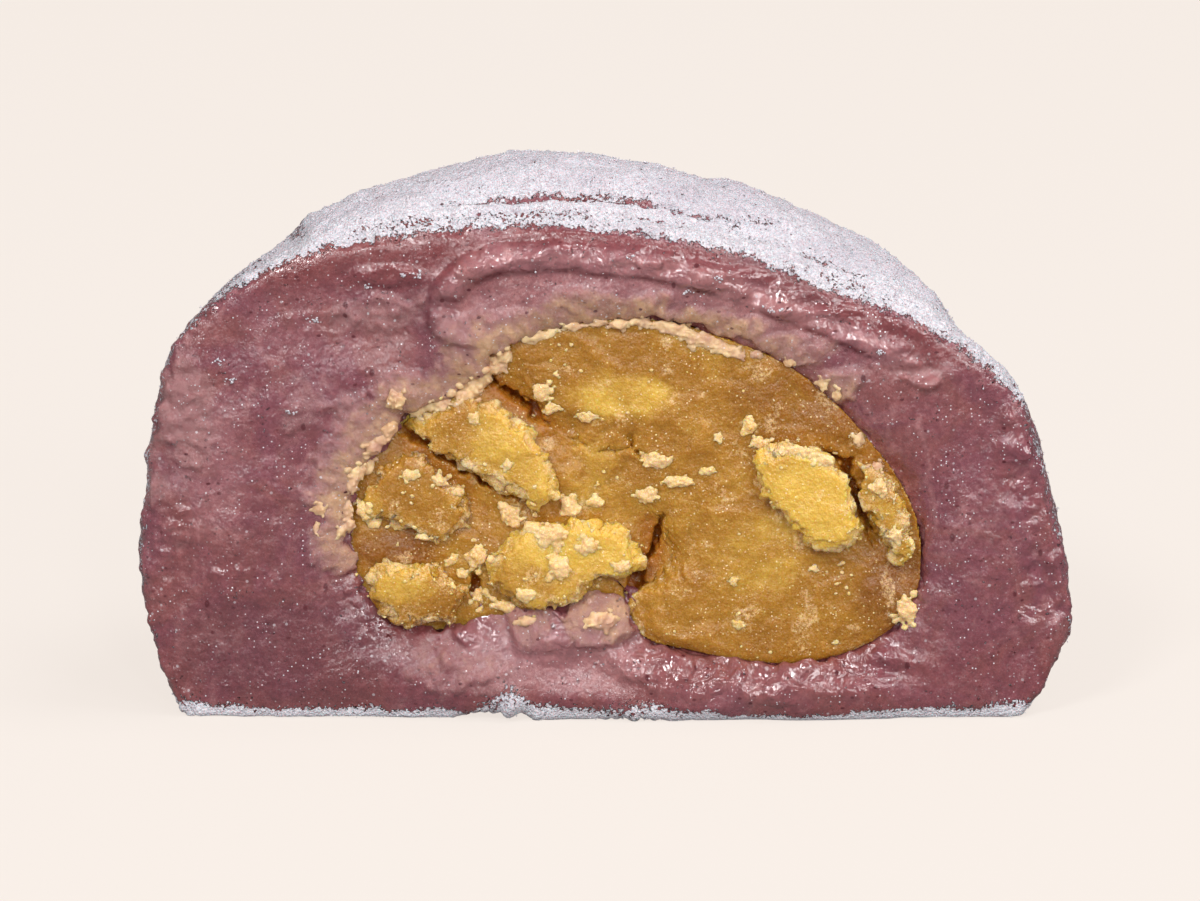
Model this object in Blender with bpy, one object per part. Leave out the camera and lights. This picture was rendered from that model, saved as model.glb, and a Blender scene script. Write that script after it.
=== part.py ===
"""Half of a mochi rice cake, cut upright through its middle and resting on its flat base.

A soft purple rice dough wraps a crumbly bean paste. The paste shows at the cut as one broken mass,
with six loose flakes and lumps lying on it. Lengths below are millimetres, in the cake's own layout:
x across the cut, y from the cut into the cake, z up from the table. An empty called mochi_half moves
that layout so that the origin is under the middle of the whole half.
"""

import math
from bisect import bisect_right
from functools import partial

import bmesh
import bpy
from mathutils import Matrix, Vector

MM = 0.001

# The cake
CAKE_DEPTH = 30.05  # from the cut to the round back
CAKE_AXIS_X = -2.0  # the upright line that the round of the cake turns about
RIM_INSET = 0.5  # the knife draws the skin in at the edge of the cut
RIM_DEPTH = 0.8  # and the cake is full again this far behind it
BELLY = 0.3  # the soft cake spreads this much wider
BELLY_START = 3.0  # by this far behind the cut
CROWN_TOP = 30.0  # skin above this height is carried up by the folds on the crown
CROWN_FADE = 7.0  # and less and less over this height below it
FOLD_START = 2.4  # the folds reach their height this far behind the cut

# The filling
FILLING_DEPTH = 16.0
GAP = 0.3  # clear space between touching pieces

# Rings: every ring has the same number of points, on headings counted round this point of the cut
BASE_POINTS = 20  # across the flat base, from its left-hand corner to its right-hand one
ROUND_POINTS = 62  # from there up over the top and back
PASTE_POINTS = 96  # round the paste
CENTRE = (1.0, 14.5)
BACK_CENTRE = (-2.0, 8.5)  # the headings' centre drifts to here at the back of the cake
CENTRE_DRIFT = 1.5  # the power of the depth that it drifts with

# The edge of the cut, anticlockwise from the left end of the base
CAKE_OUTLINE = [
    (-27.1, 0.0), (-26.1, 0.0), (0.0, 0.0), (25.9, 0.0), (26.9, 0.0), (27.8, 0.9), (28.8, 2.8),
    (29.9, 6.0), (29.8, 9.0), (28.8, 13.4), (27.7, 17.6), (25.8, 21.8), (22.9, 24.6),
    (19.2, 26.6), (13.6, 28.8), (7.6, 31.0), (1.6, 32.3), (-5.0, 32.7), (-13.0, 32.0),
    (-19.5, 30.8), (-23.6, 28.9), (-27.3, 25.3), (-29.0, 21.0), (-29.7, 14.5), (-30.0, 9.2),
    (-29.4, 4.8), (-28.6, 2.4), (-27.9, 0.9),
]

# The edge of the filling on the cut, in the same sense, from the foot of its right-hand mass
FILLING_OUTLINE = [
    (2.4, 5.2), (5.4, 4.4), (9.0, 3.7), (12.6, 3.5), (16.0, 4.4), (18.6, 6.0), (20.0, 8.0),
    (20.4, 10.4), (20.1, 13.2), (18.9, 15.9), (17.0, 18.5), (14.2, 21.5), (11.2, 23.8),
    (7.4, 25.4), (2.6, 26.6), (-1.6, 26.4), (-5.4, 25.5), (-8.0, 23.8), (-9.6, 22.2),
    (-12.2, 20.8), (-14.2, 18.8), (-16.0, 16.6), (-17.0, 14.0), (-17.1, 11.4), (-16.2, 8.4),
    (-14.2, 6.3), (-11.6, 5.5), (-7.0, 6.3), (-3.2, 7.2), (0.2, 7.8), (1.4, 6.6),
]

# Folds on top of the cake. A ridge has its line from one plan point (x, y) to another, its height
# at each end, its half-width towards the cut and towards the back, and how soon it falls off at
# its ends
RIDGES = [
    ((-18.6, 8.0), (-5.0, 9.5), (1.4, 3.4), (8.0, 15.0), 2.0),
    ((-5.0, 9.5), (3.5, 10.0), (3.4, 3.1), (8.0, 15.0), 5.0),
    ((8.0, 9.5), (21.0, 7.5), (3.3, 2.4), (7.0, 12.0), 2.0),
]
# A crease has its line, its half-width and its depth
CREASES = [
    ((-10.0, 3.1), (9.0, 3.0), 1.0, 0.8),
    ((9.0, 3.0), (20.0, 3.4), 1.1, 0.5),
]

# Puckers where the dusted base lifts off the table along the cut: x, half-width, height
BASE_PUCKERS = [(-6.6, 1.3, 1.7), (1.9, 1.6, 0.9)]
PUCKER_DEPTH = 1.7

# How deep the paste's broken front lies behind the cut
BED_DEPTH = 2.7
# Masses standing out of that bed: centre (x, z), half-length, half-height, turn in degrees, depth
MASSES = [
    ((4.5, 22.0), 14.5, 4.6, -13.0, 0.8),
    ((1.0, 16.2), 4.6, 3.4, -20.0, 1.9),
    ((8.5, 15.5), 7.0, 5.0, -20.0, 0.5),
    ((11.0, 9.4), 10.0, 6.9, 6.0, -0.2),
]
MASS_EDGE, MASS_TOP = 1.3, 0.75  # shares of its ellipse between which a mass rises
# Cracks between them: end (x, z), end (x, z), half-width, added depth
CRACKS = [
    ((-7.4, 22.4), (-3.6, 19.0), 1.5, 2.2),
    ((-12.8, 18.6), (-8.2, 13.6), 1.3, 1.4),
    ((3.2, 13.2), (2.1, 7.6), 1.5, 2.0),
    ((15.6, 17.6), (18.2, 11.4), 1.2, 1.4),
]

# Loose pieces on the paste: the edge seen from the front (x, z), the depth of the underside
# below the middle of the piece, its slope to the right and upwards, and its thickness
LOOSE_PIECES = {
    "paste_flake_upper_left": dict(
        outline=[
            (-12.9, 19.1), (-9.2, 16.9), (-6.2, 15.1), (-3.6, 14.0), (-3.3, 15.6),
            (-4.3, 18.3), (-6.7, 20.6), (-9.4, 21.4), (-11.6, 20.6),
        ],
        depth=1.5, slope=(-0.12, 0.06), thick=2.0,
    ),
    "paste_lump_left": dict(
        outline=[
            (-16.1, 14.2), (-14.3, 13.2), (-11.8, 11.9), (-10.0, 11.9), (-9.0, 13.6),
            (-10.6, 16.0), (-12.9, 17.6), (-14.8, 16.8),
        ],
        depth=2.1, slope=(-0.05, 0.0), thick=2.2,
    ),
    "paste_lump_lower_left": dict(
        outline=[
            (-15.6, 8.2), (-13.9, 6.5), (-11.6, 6.2), (-9.7, 6.8), (-9.2, 8.7),
            (-11.0, 9.9), (-13.6, 10.5), (-15.2, 9.9),
        ],
        depth=1.9, slope=(0.0, -0.05), thick=2.6,
    ),
    "paste_lump_middle": dict(
        outline=[
            (-7.6, 9.8), (-6.4, 7.8), (-4.4, 7.4), (-2.4, 8.1), (-0.6, 9.3), (2.5, 9.5),
            (2.4, 10.8), (1.2, 12.7), (-1.4, 13.2), (-5.0, 12.9), (-7.0, 11.8),
        ],
        depth=1.6, slope=(0.04, 0.05), thick=2.5,
    ),
    "paste_flake_right": dict(
        outline=[
            (12.0, 13.2), (14.0, 11.6), (16.2, 12.0), (16.2, 13.4), (15.4, 16.4),
            (13.2, 18.3), (10.6, 18.5), (9.6, 17.2), (10.4, 15.0),
        ],
        depth=0.0, slope=(-0.03, 0.05), thick=1.5,
    ),
    "paste_flake_rim": dict(
        outline=[
            (17.6, 12.6), (18.8, 10.7), (19.7, 10.5), (19.5, 13.0), (18.5, 15.5),
            (17.2, 17.1), (16.3, 16.9), (16.5, 15.2),
        ],
        depth=0.7, slope=(0.0, 0.0), thick=1.6,
    ),
}
PIECE_POINTS = 28
SEAT_MARGIN = 1.1  # the seat under a loose piece stays flat this far beyond its edge
SEAT_FADE = 1.8
SEAT_SLACK = 0.1  # more than the gap, because the paste's front is faceted

# Rings along each surface
FRONT_RINGS = 14
FRONT_REACH = 0.985  # the last ring of the front, as a share of the filling's edge
EDGE_DEPTH = 0.7  # how far behind the cut the filling's edge lies
POCKET_RINGS = 6
POCKET_LAST_TURN = 80.0
BACK_DEPTHS = (
    1.8, 3.0, 4.6, 6.5, 9.0, 11.5, 14.5, 17.5, 20.5, 23.2, 25.5, 27.4, 28.8, 29.6, 30.05,
)
# The cut face from the filling's edge outwards: share of the way, depth behind the cut
FACE_PROFILE = [(0.03, 0.15), (0.12, -0.1), (0.3, -0.3), (0.55, -0.2), (0.8, -0.05), (1.0, 0.0)]
# The rounded edge of the cut: share of the rim's depth, share of its inset
RIM_PROFILE = [(0.15, 0.4), (0.5, 0.1), (1.0, 0.0)]
# A loose piece from its front to its underside: share of its edge, share of its thickness
PIECE_PROFILE = [(0.4, 1.0), (0.8, 0.96), (0.96, 0.72), (1.0, 0.36), (0.95, 0.06), (0.86, 0.0), (0.4, 0.0)]

# Finding the cake's edge by halving
LONGEST_REACH = 45.0
REACH_HALVINGS = 24
BASE_CORNER_HEIGHT = 0.05  # the base's corners are sought this far above the table
ON_TABLE = 0.02  # points of the outline under this height belong to the base
LAST_BASE_DEPTH = 26.2  # behind this the headings stay as they are, where the base has ended

# Moves the cake's own layout so that the origin is under the middle of the whole
CAKE_SHIFT = (0.0, -14.2, 0.0)

# Colours (linear), roughness
DOUGH_LOOK = ((0.26, 0.11, 0.12), 0.42)
PASTE_LOOK = ((0.50, 0.26, 0.05), 0.62)
LOOSE_LOOK = ((0.58, 0.34, 0.09), 0.68)


def smoothstep(low, high, value):
    share = min(1.0, max(0.0, (value - low) / (high - low)))
    return share * share * (3.0 - 2.0 * share)


def distance_to_run(point, start, end):
    """How far a point of the plane lies from the straight run between two others."""
    run = Vector(end) - Vector(start)
    along = min(1.0, max(0.0, (Vector(point) - Vector(start)).dot(run) / run.length_squared))
    return (Vector(point) - Vector(start) - along * run).length


def ridge_height(ridge, x, y):
    """How high a ridge on the crown stands at a plan point."""
    start, end, heights, widths, end_width = ridge
    run = Vector(end) - Vector(start)
    arm = Vector((x, y)) - Vector(start)
    along = arm.dot(run.normalized())
    across = run.normalized().cross(arm)
    share = min(1.0, max(0.0, along / run.length))
    beyond = max(0.0, -along, along - run.length)
    off = math.hypot(beyond / end_width, across / widths[0 if across < 0.0 else 1])
    return (heights[0] + (heights[1] - heights[0]) * share) * math.exp(-(off**4))


def closed_curve(points, steps=14):
    """A smooth closed curve through the points (Catmull-Rom), as a dense list."""
    curve = []
    for i in range(len(points)):
        a, b, c, d = (Vector(points[(i + k) % len(points)]) for k in (-1, 0, 1, 2))
        for step in range(steps):
            t = step / steps
            curve.append(
                b
                + 0.5 * t * (c - a)
                + t * t * (a - 2.5 * b + 2.0 * c - 0.5 * d)
                + t**3 * (1.5 * b - 0.5 * a - 1.5 * c + 0.5 * d)
            )
    return curve


def reaches(points, centre, headings):
    """How far a closed curve lies from its centre on each heading."""
    polar = []
    for point in closed_curve(points):
        arm = point - Vector(centre)
        polar.append((math.atan2(arm.y, arm.x) % math.tau, arm.length))
    polar.sort()
    angles = [angle for angle, _ in polar]
    found = []
    for heading in headings:
        after = bisect_right(angles, heading % math.tau) % len(polar)
        low, high = polar[after - 1], polar[after]
        span = (high[0] - low[0]) % math.tau
        share = ((heading - low[0]) % math.tau) / span if span else 0.0
        found.append(low[1] + share * (high[1] - low[1]))
    return found


def even_headings(count):
    return [math.tau * i / count for i in range(count)]


def cake_headings(centre, right_corner, left_corner):
    """Headings that put a point on each corner of the base: across the base, then round the top."""
    first = math.atan2(-centre[1], right_corner - centre[0])
    last = math.atan2(-centre[1], left_corner - centre[0])
    across = [last + (first - last) * i / BASE_POINTS for i in range(BASE_POINTS)]
    sweep = math.tau - (first - last)
    return across + [first + sweep * i / ROUND_POINTS for i in range(ROUND_POINTS)]


def arm_at(heading):
    return Vector((math.cos(heading), math.sin(heading)))


def ring_at(centre, headings, lengths, depth):
    """A ring of points (x, y, z) round a centre of the cut; depth(x, z) gives each point's y."""
    ring = []
    for heading, length in zip(headings, lengths):
        x, z = Vector(centre) + arm_at(heading) * length
        ring.append((x, depth(x, z), z))
    return ring


def skin_over(name, rings):
    """A closed mesh drawn over rings with the same number of points, capped at both ends.
    Each ring is extruded from the one before, and its points moved by their heading."""
    bm = bmesh.new()
    heading = bm.verts.layers.int.new("heading")
    bmesh.ops.create_circle(bm, cap_ends=True, segments=len(rings[0]), radius=1.0)
    bm.verts.ensure_lookup_table()
    front = list(bm.verts)
    for index, vert in enumerate(front):
        vert[heading] = index
    edges = list(bm.edges)
    for number, ring in enumerate(rings):
        if number:
            made = bmesh.ops.extrude_edge_only(bm, edges=edges)["geom"]
            front = [item for item in made if isinstance(item, bmesh.types.BMVert)]
            edges = [
                item
                for item in made
                if isinstance(item, bmesh.types.BMEdge) and all(v in front for v in item.verts)
            ]
        for vert in front:
            vert.co = Vector(ring[vert[heading]]) * MM
    bmesh.ops.edgeloop_fill(bm, edges=edges)
    caps = [face for face in bm.faces if len(face.verts) > 4]
    bmesh.ops.triangulate(bm, faces=caps)
    bmesh.ops.recalc_face_normals(bm, faces=bm.faces)
    mesh = bpy.data.meshes.new(name)
    bm.to_mesh(mesh)
    bm.free()
    mesh.shade_smooth()
    return mesh


class CakeForm:
    """The whole cake's outer form, found from the edge of the cut."""

    def __init__(self):
        curve = closed_curve(CAKE_OUTLINE)
        top = max(range(len(curve)), key=lambda i: curve[i].y)
        self.right = self.side(curve[:top])
        self.left = self.side(curve[top:])

    def side(self, points):
        """Heights and half-widths of one side, from the base up."""
        rows = sorted((point.y, abs(point.x - CAKE_AXIS_X)) for point in points if point.y > ON_TABLE)
        return [row[0] for row in rows], [row[1] for row in rows]

    def half_width(self, side, height):
        heights, widths = side
        if height <= heights[0]:
            return widths[0]
        if height >= heights[-1]:
            return 0.0
        after = bisect_right(heights, height)
        share = (height - heights[after - 1]) / (heights[after] - heights[after - 1])
        return widths[after - 1] + share * (widths[after] - widths[after - 1])

    def lift(self, x, y, z):
        """How far the folds on the crown carry the skin up at a point."""
        rise = 0.0
        for ridge in RIDGES:
            rise = max(rise, ridge_height(ridge, x, y))
        for start, end, width, depth in CREASES:
            off = distance_to_run((x, y), start, end) / width
            rise -= depth * math.exp(-off * off)
        near_top = smoothstep(CROWN_TOP - CROWN_FADE, CROWN_TOP, z)
        return rise * near_top * smoothstep(0.0, FOLD_START, y)

    def base_level(self, x, y):
        level = 0.0
        for middle, width, height in BASE_PUCKERS:
            level += height * math.exp(-(((x - middle) / width) ** 2) - (y / PUCKER_DEPTH) ** 2)
        return level

    def holds(self, x, y, z):
        """Whether a point lies inside the cake."""
        if z < self.base_level(x, y):
            return False
        height = z - self.lift(x, y, z)
        turn = math.atan2(y, x - CAKE_AXIS_X) / math.pi
        right = self.half_width(self.right, height)
        left = self.half_width(self.left, height)
        allowed = right + (left - right) * smoothstep(0.0, 1.0, turn)
        allowed += BELLY * smoothstep(0.0, BELLY_START, y)
        return math.hypot(x - CAKE_AXIS_X, y) < allowed

    def reach(self, centre, arm, y):
        """How far the cake reaches from a centre in the plane at depth y."""
        inside, outside = 0.0, LONGEST_REACH
        for _ in range(REACH_HALVINGS):
            middle = (inside + outside) / 2.0
            spot = centre + arm * middle
            if self.holds(spot.x, y, spot.y):
                inside = middle
            else:
                outside = middle
        return inside

    def headings(self, y):
        """The headings at depth y, with one on each corner of the base."""
        centre = self.centre(y)
        y = min(y, LAST_BASE_DEPTH)
        foot = Vector((centre.x, BASE_CORNER_HEIGHT))
        right = self.reach(foot, Vector((1.0, 0.0)), y)
        left = self.reach(foot, Vector((-1.0, 0.0)), y)
        return cake_headings(centre, centre.x + right, centre.x - left)

    def centre(self, y):
        return Vector(CENTRE).lerp(Vector(BACK_CENTRE), (y / CAKE_DEPTH) ** CENTRE_DRIFT)

    def ring(self, y, inset=0.0):
        """The cake's edge in the plane at depth y, drawn in by inset but for its base."""
        centre = self.centre(y)
        points = []
        for number, heading in enumerate(self.headings(y)):
            arm = arm_at(heading)
            spot = centre + arm * self.reach(centre, arm, y)
            if number <= BASE_POINTS:
                spot -= Vector((arm.x, 0.0)) * inset * abs(2.0 * number / BASE_POINTS - 1.0)
            else:
                spot -= arm * inset
            on_base = spot.y < BASE_CORNER_HEIGHT and number <= BASE_POINTS
            points.append((spot.x, y, 0.0 if on_base else spot.y))
        return points


class LoosePiece:
    """A flake or lump of paste lying on the paste's broken front."""

    def __init__(self, outline, depth, slope, thick):
        self.depth = depth
        self.slope = slope
        self.thick = thick
        self.middle = sum((Vector(point) for point in outline), Vector((0.0, 0.0))) / len(outline)
        self.headings = even_headings(PIECE_POINTS)
        self.reaches = reaches(outline, self.middle, self.headings)

    def seat_depth(self, x, z):
        """The depth of the plane that its underside lies in."""
        right, up = self.slope
        return self.depth + right * (x - self.middle.x) + up * (z - self.middle.y)

    def beyond_edge(self, x, z):
        """How far a point lies outside its edge, or 0 inside it."""
        arm = Vector((x, z)) - self.middle
        turn = math.atan2(arm.y, arm.x) % math.tau / math.tau * PIECE_POINTS
        low = int(turn) % PIECE_POINTS
        low_reach, high_reach = self.reaches[low], self.reaches[(low + 1) % PIECE_POINTS]
        return max(0.0, arm.length - low_reach - (turn - int(turn)) * (high_reach - low_reach))

    def build(self, name):
        """Its crowned front, rounded edge and flat underside."""
        rings = []
        for share, height in PIECE_PROFILE:
            depth = partial(self.front_depth, height)
            rings.append(ring_at(self.middle, self.headings, scaled(self.reaches, share), depth))
        return skin_over(name, rings)

    def front_depth(self, height, x, z):
        return self.seat_depth(x, z) - self.thick * height


def paste_depth(pieces, x, z):
    """How far the paste's front lies behind the cut."""
    depth = BED_DEPTH
    for middle, length, height, turn, level in MASSES:
        arm = Vector((x, z)) - Vector(middle)
        arm.rotate(Matrix.Rotation(math.radians(-turn), 2))
        share = math.hypot(arm.x / length, arm.y / height)
        depth += (level - depth) * smoothstep(MASS_EDGE, MASS_TOP, share)
    for piece in pieces:
        seat = piece.seat_depth(x, z) + GAP + SEAT_SLACK
        share = smoothstep(SEAT_MARGIN + SEAT_FADE, SEAT_MARGIN, piece.beyond_edge(x, z))
        depth += (seat - depth) * share
    for start, end, width, deeper in CRACKS:
        off = distance_to_run((x, z), start, end) / width
        depth += deeper * math.exp(-off * off)
    return depth


def grown(lengths, by):
    return [length + by for length in lengths]


def scaled(lengths, by):
    return [length * by for length in lengths]


def pocket_rings(headings, lengths, bottom):
    """Rings of a bowl behind the filling's edge, from the edge to its bottom."""
    rings = []
    for step in range(POCKET_RINGS):
        turn = math.radians(POCKET_LAST_TURN) * step / (POCKET_RINGS - 1)
        depth = EDGE_DEPTH + (bottom - EDGE_DEPTH) * math.sin(turn)
        lengths_there = scaled(lengths, math.cos(turn))
        rings.append(ring_at(CENTRE, headings, lengths_there, lambda x, z: depth))
    return rings


def ring_between(inner, outer, share, depth):
    """A ring on the cut, part of the way from the filling's edge to the cake's edge."""
    return [
        (a[0] + (b[0] - a[0]) * share, depth, a[2] + (b[2] - a[2]) * share)
        for a, b in zip(inner, outer)
    ]


def build_dough(form):
    """The rice dough: a pocket for the paste, the cut face round it, then the skin to the back."""
    headings = form.headings(0.0)
    edge = grown(reaches(FILLING_OUTLINE, CENTRE, headings), GAP)
    rings = list(reversed(pocket_rings(headings, edge, FILLING_DEPTH + GAP)))
    inner = ring_at(CENTRE, headings, edge, lambda x, z: 0.0)
    outer = form.ring(0.0, RIM_INSET)
    rings += [ring_between(inner, outer, share, depth) for share, depth in FACE_PROFILE]
    rings += [form.ring(RIM_DEPTH * depth, RIM_INSET * inset) for depth, inset in RIM_PROFILE]
    rings += [form.ring(depth) for depth in BACK_DEPTHS]
    return skin_over("rice_dough", rings)


def build_paste(pieces):
    """The paste's main body: its broken front with seats for the loose pieces, then its bowl."""
    headings = even_headings(PASTE_POINTS)
    edge = reaches(FILLING_OUTLINE, CENTRE, headings)
    rings = []
    for step in range(1, FRONT_RINGS + 1):
        lengths = scaled(edge, FRONT_REACH * step / FRONT_RINGS)
        rings.append(ring_at(CENTRE, headings, lengths, partial(paste_depth, pieces)))
    rings += pocket_rings(headings, edge, FILLING_DEPTH)
    return skin_over("bean_paste", rings)


def surface(name, look):
    colour, roughness = look
    material = bpy.data.materials.new(name)
    material.use_nodes = True
    shader = material.node_tree.nodes["Principled BSDF"]
    shader.inputs["Base Color"].default_value = (*colour, 1.0)
    shader.inputs["Roughness"].default_value = roughness
    material.diffuse_color = (*colour, 1.0)
    return material


def place(mesh, material, parent):
    mesh.materials.append(material)
    piece = bpy.data.objects.new(mesh.name, mesh)
    piece.parent = parent
    bpy.context.scene.collection.objects.link(piece)


def main():
    for old in list(bpy.data.objects):
        bpy.data.objects.remove(old)

    cake = bpy.data.objects.new("mochi_half", None)
    bpy.context.scene.collection.objects.link(cake)
    cake.location = Vector(CAKE_SHIFT) * MM

    pieces = {name: LoosePiece(**sizes) for name, sizes in LOOSE_PIECES.items()}
    place(build_dough(CakeForm()), surface("rice_dough", DOUGH_LOOK), cake)
    place(build_paste(pieces.values()), surface("bean_paste", PASTE_LOOK), cake)
    loose = surface("loose_paste", LOOSE_LOOK)
    for name, piece in pieces.items():
        place(piece.build(name), loose, cake)
    bpy.context.view_layer.update()


main()
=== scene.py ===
"""Dresses the solids of a cut mochi rice cake: mauve rice dough, yellow bean paste, crumbs and starch."""

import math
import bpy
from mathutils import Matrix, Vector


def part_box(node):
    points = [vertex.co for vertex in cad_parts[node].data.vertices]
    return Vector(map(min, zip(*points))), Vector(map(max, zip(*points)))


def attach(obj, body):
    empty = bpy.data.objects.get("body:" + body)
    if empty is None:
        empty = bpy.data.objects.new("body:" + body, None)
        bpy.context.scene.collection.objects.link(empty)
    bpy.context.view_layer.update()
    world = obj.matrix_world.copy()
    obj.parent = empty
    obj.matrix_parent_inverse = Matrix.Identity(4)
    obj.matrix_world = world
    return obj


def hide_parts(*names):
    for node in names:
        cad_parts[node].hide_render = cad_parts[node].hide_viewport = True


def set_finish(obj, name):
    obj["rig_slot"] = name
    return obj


bl_info = {
    "name": "Mochi Rice Cake Half",
    "version": (1, 0, 0),
    "blender": (4, 5, 0),
    "location": "3D View > Sidebar > Rice Cake",
    "description": "Gives a cut mochi rice cake its dough, bean paste, crumbs and starch",
    "category": "Object",
}

import bmesh
import bpy
import numpy as np
from bpy.props import FloatProperty, FloatVectorProperty, IntProperty, PointerProperty
from mathutils import Matrix, Vector, bvhtree, kdtree, noise

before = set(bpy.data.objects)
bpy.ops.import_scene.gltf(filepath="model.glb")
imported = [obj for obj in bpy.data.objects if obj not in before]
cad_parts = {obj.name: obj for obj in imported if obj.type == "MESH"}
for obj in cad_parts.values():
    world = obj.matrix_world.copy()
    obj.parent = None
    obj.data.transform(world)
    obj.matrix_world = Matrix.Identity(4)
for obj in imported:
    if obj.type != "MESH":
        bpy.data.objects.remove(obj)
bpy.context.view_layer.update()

MM = 0.001
SEED = 23

# Places on the cut are (x, z) in millimetres. A place on the crown is (x, how far behind the cut).
PUCKER_REACH = 0.3  # the dough's foremost points stand this far proud of the cut
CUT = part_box("rice_dough")[0].y / MM + PUCKER_REACH

# A fold in the dough winds round the filling's upper left and runs under the crown.
FOLD_LINE = [
    (-9.6, 25.2), (-10.6, 26.6), (-10.4, 28.4), (-9.0, 30.0), (-7.0, 30.8), (-3.1, 30.9),
    (2.1, 30.5), (5.5, 29.8), (8.5, 28.8), (11.5, 27.6), (14.5, 26.4), (17.5, 25.0), (20.5, 23.0),
]  # fmt: skip
# Streaks where the crown's folds show the dough through the starch: start, end, half width, how bare.
CREASE_STREAKS = [
    ((-11.0, 2.5), (1.0, 3.1), 0.6, 1.0),
    ((-2.6, 3.0), (8.6, 3.7), 0.34, 0.9),
    ((-1.0, 1.7), (6.0, 2.1), 0.24, 0.5),
    ((8.3, 2.6), (19.0, 2.2), 0.5, 0.4),
    ((1.2, 9.6), (7.0, 8.6), 0.8, 0.75),
    ((-16.0, 4.6), (-10.0, 6.8), 0.5, 0.35),
]
# Where the dough is smeared with paste beside the filling: centre, half width, half height, how much.
SMEARS = [
    ((-7.6, 24.6), 3.6, 3.0, 1.0),
    ((-5.6, 26.4), 3.0, 1.4, 0.9),
    ((-9.4, 22.4), 2.4, 1.6, 1.0),
    ((-13.4, 22.0), 2.0, 1.6, 1.0),
    ((-11.6, 21.8), 2.0, 1.4, 0.8),
    ((-15.6, 19.2), 2.2, 2.6, 0.95),
    ((-17.4, 15.8), 2.2, 3.4, 0.95),
    ((-17.8, 12.2), 1.5, 2.4, 0.7),
    ((5.4, 26.4), 4.4, 1.3, 1.0),
    ((-0.5, 27.6), 4.4, 1.2, 0.9),
    ((11.4, 24.8), 3.4, 1.1, 0.6),
    ((15.0, 22.4), 1.6, 1.4, 0.7),
    ((19.0, 23.6), 3.0, 1.2, 0.2),
    ((-0.5, 6.2), 2.8, 1.7, 0.7),
    ((-5.4, 6.0), 2.2, 1.3, 0.55),
    ((-14.5, 27.2), 4.2, 1.6, 0.5),
    ((-9.5, 3.2), 4.5, 1.5, 0.4),
    ((-27.0, 20.5), 1.8, 4.6, 0.6),
    ((-19.6, 21.0), 1.6, 2.0, 0.35),
]
# Wet, stretched dough that shines: centre, half width, half height, how wet.
WET_PATCHES = [
    ((10.5, 2.9), 8.5, 1.6, 1.0),
    ((3.5, 4.4), 4.5, 1.9, 1.0),
    ((-4.5, 5.4), 5.0, 1.6, 0.8),
    ((-14.9, 6.9), 1.7, 2.4, 0.9),
    ((-9.8, 4.8), 2.0, 1.1, 0.9),
    ((-1.0, 30.6), 8.0, 0.7, 0.6),
    ((8.0, 29.3), 4.0, 1.0, 0.7),
    ((13.5, 27.2), 3.0, 0.9, 0.6),
    ((-27.3, 13.0), 1.6, 2.0, 0.7),
    ((27.0, 18.0), 2.0, 5.5, 0.8),
    ((28.0, 9.0), 1.8, 3.0, 0.6),
    ((-23.8, 10.0), 2.4, 1.2, 0.5),
    ((-28.0, 22.0), 2.0, 4.0, 0.6),
    ((-14.0, 29.6), 2.6, 0.8, 0.7),
    ((-18.5, 26.4), 3.0, 0.9, 0.5),
    ((19.5, 26.4), 3.5, 1.0, 0.6),
    ((11.0, 29.0), 2.0, 0.7, 0.6),
    ((17.0, 3.6), 4.0, 1.4, 0.7),
]
# The soft dough bulges here or sinks: centre, half width, half height, millimetres forward.
SWELLINGS = [
    ((6.0, 1.3), 16.0, 1.7, 1.3),
    ((9.0, 4.9), 8.0, 1.3, -0.5),
    ((-3.0, 5.4), 4.0, 1.2, 0.4),
    ((-10.0, 2.6), 8.0, 1.9, 0.7),
    ((-15.2, 7.4), 1.4, 1.9, 0.5),
    ((-22.0, 12.0), 6.0, 8.0, 0.4),
    ((24.5, 9.0), 4.0, 6.5, 0.45),
    ((-16.0, 25.8), 5.5, 2.4, -0.35),
    ((-7.8, 24.8), 2.6, 2.2, 0.5),
    ((-13.4, 22.0), 1.6, 1.3, 0.4),
    ((2.0, 28.6), 8.0, 1.2, 0.35),
    ((24.0, 18.5), 3.0, 3.0, -0.3),
]
# The dough's edge is pulled further over the filling here: centre, half width, half height, how far.
LAPS = [
    ((-9.5, 5.8), 8.5, 2.2, 0.9),
    ((-1.0, 7.4), 3.5, 1.5, 0.6),
    ((-16.8, 9.0), 2.0, 4.0, 0.5),
    ((-8.5, 23.0), 4.5, 2.5, 0.45),
]
# Puckers in the base where starch has gathered: place, half width, height.
PUCKERS = [(-6.5, 1.7, 1.7), (2.4, 1.9, 0.7), (-3.4, 1.6, 0.25)]
# Lighter and darker places on the paste: centre, half width, half height, tone from -1 to 1.
PASTE_TONES = [
    ((1.0, 21.6), 3.8, 1.7, 0.75),
    ((12.5, 20.5), 6.0, 4.0, -0.3),
    ((17.5, 17.5), 3.0, 3.5, -0.45),
    ((18.5, 8.5), 2.8, 4.0, -0.6),
    ((9.8, 11.0), 4.0, 3.4, 0.3),
    ((3.0, 8.0), 2.6, 2.6, 0.15),
    ((-14.0, 11.0), 3.2, 2.0, -0.75),
    ((-0.5, 16.5), 2.6, 3.0, 0.2),
    ((14.0, 5.2), 5.0, 1.6, -0.3),
]
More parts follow.
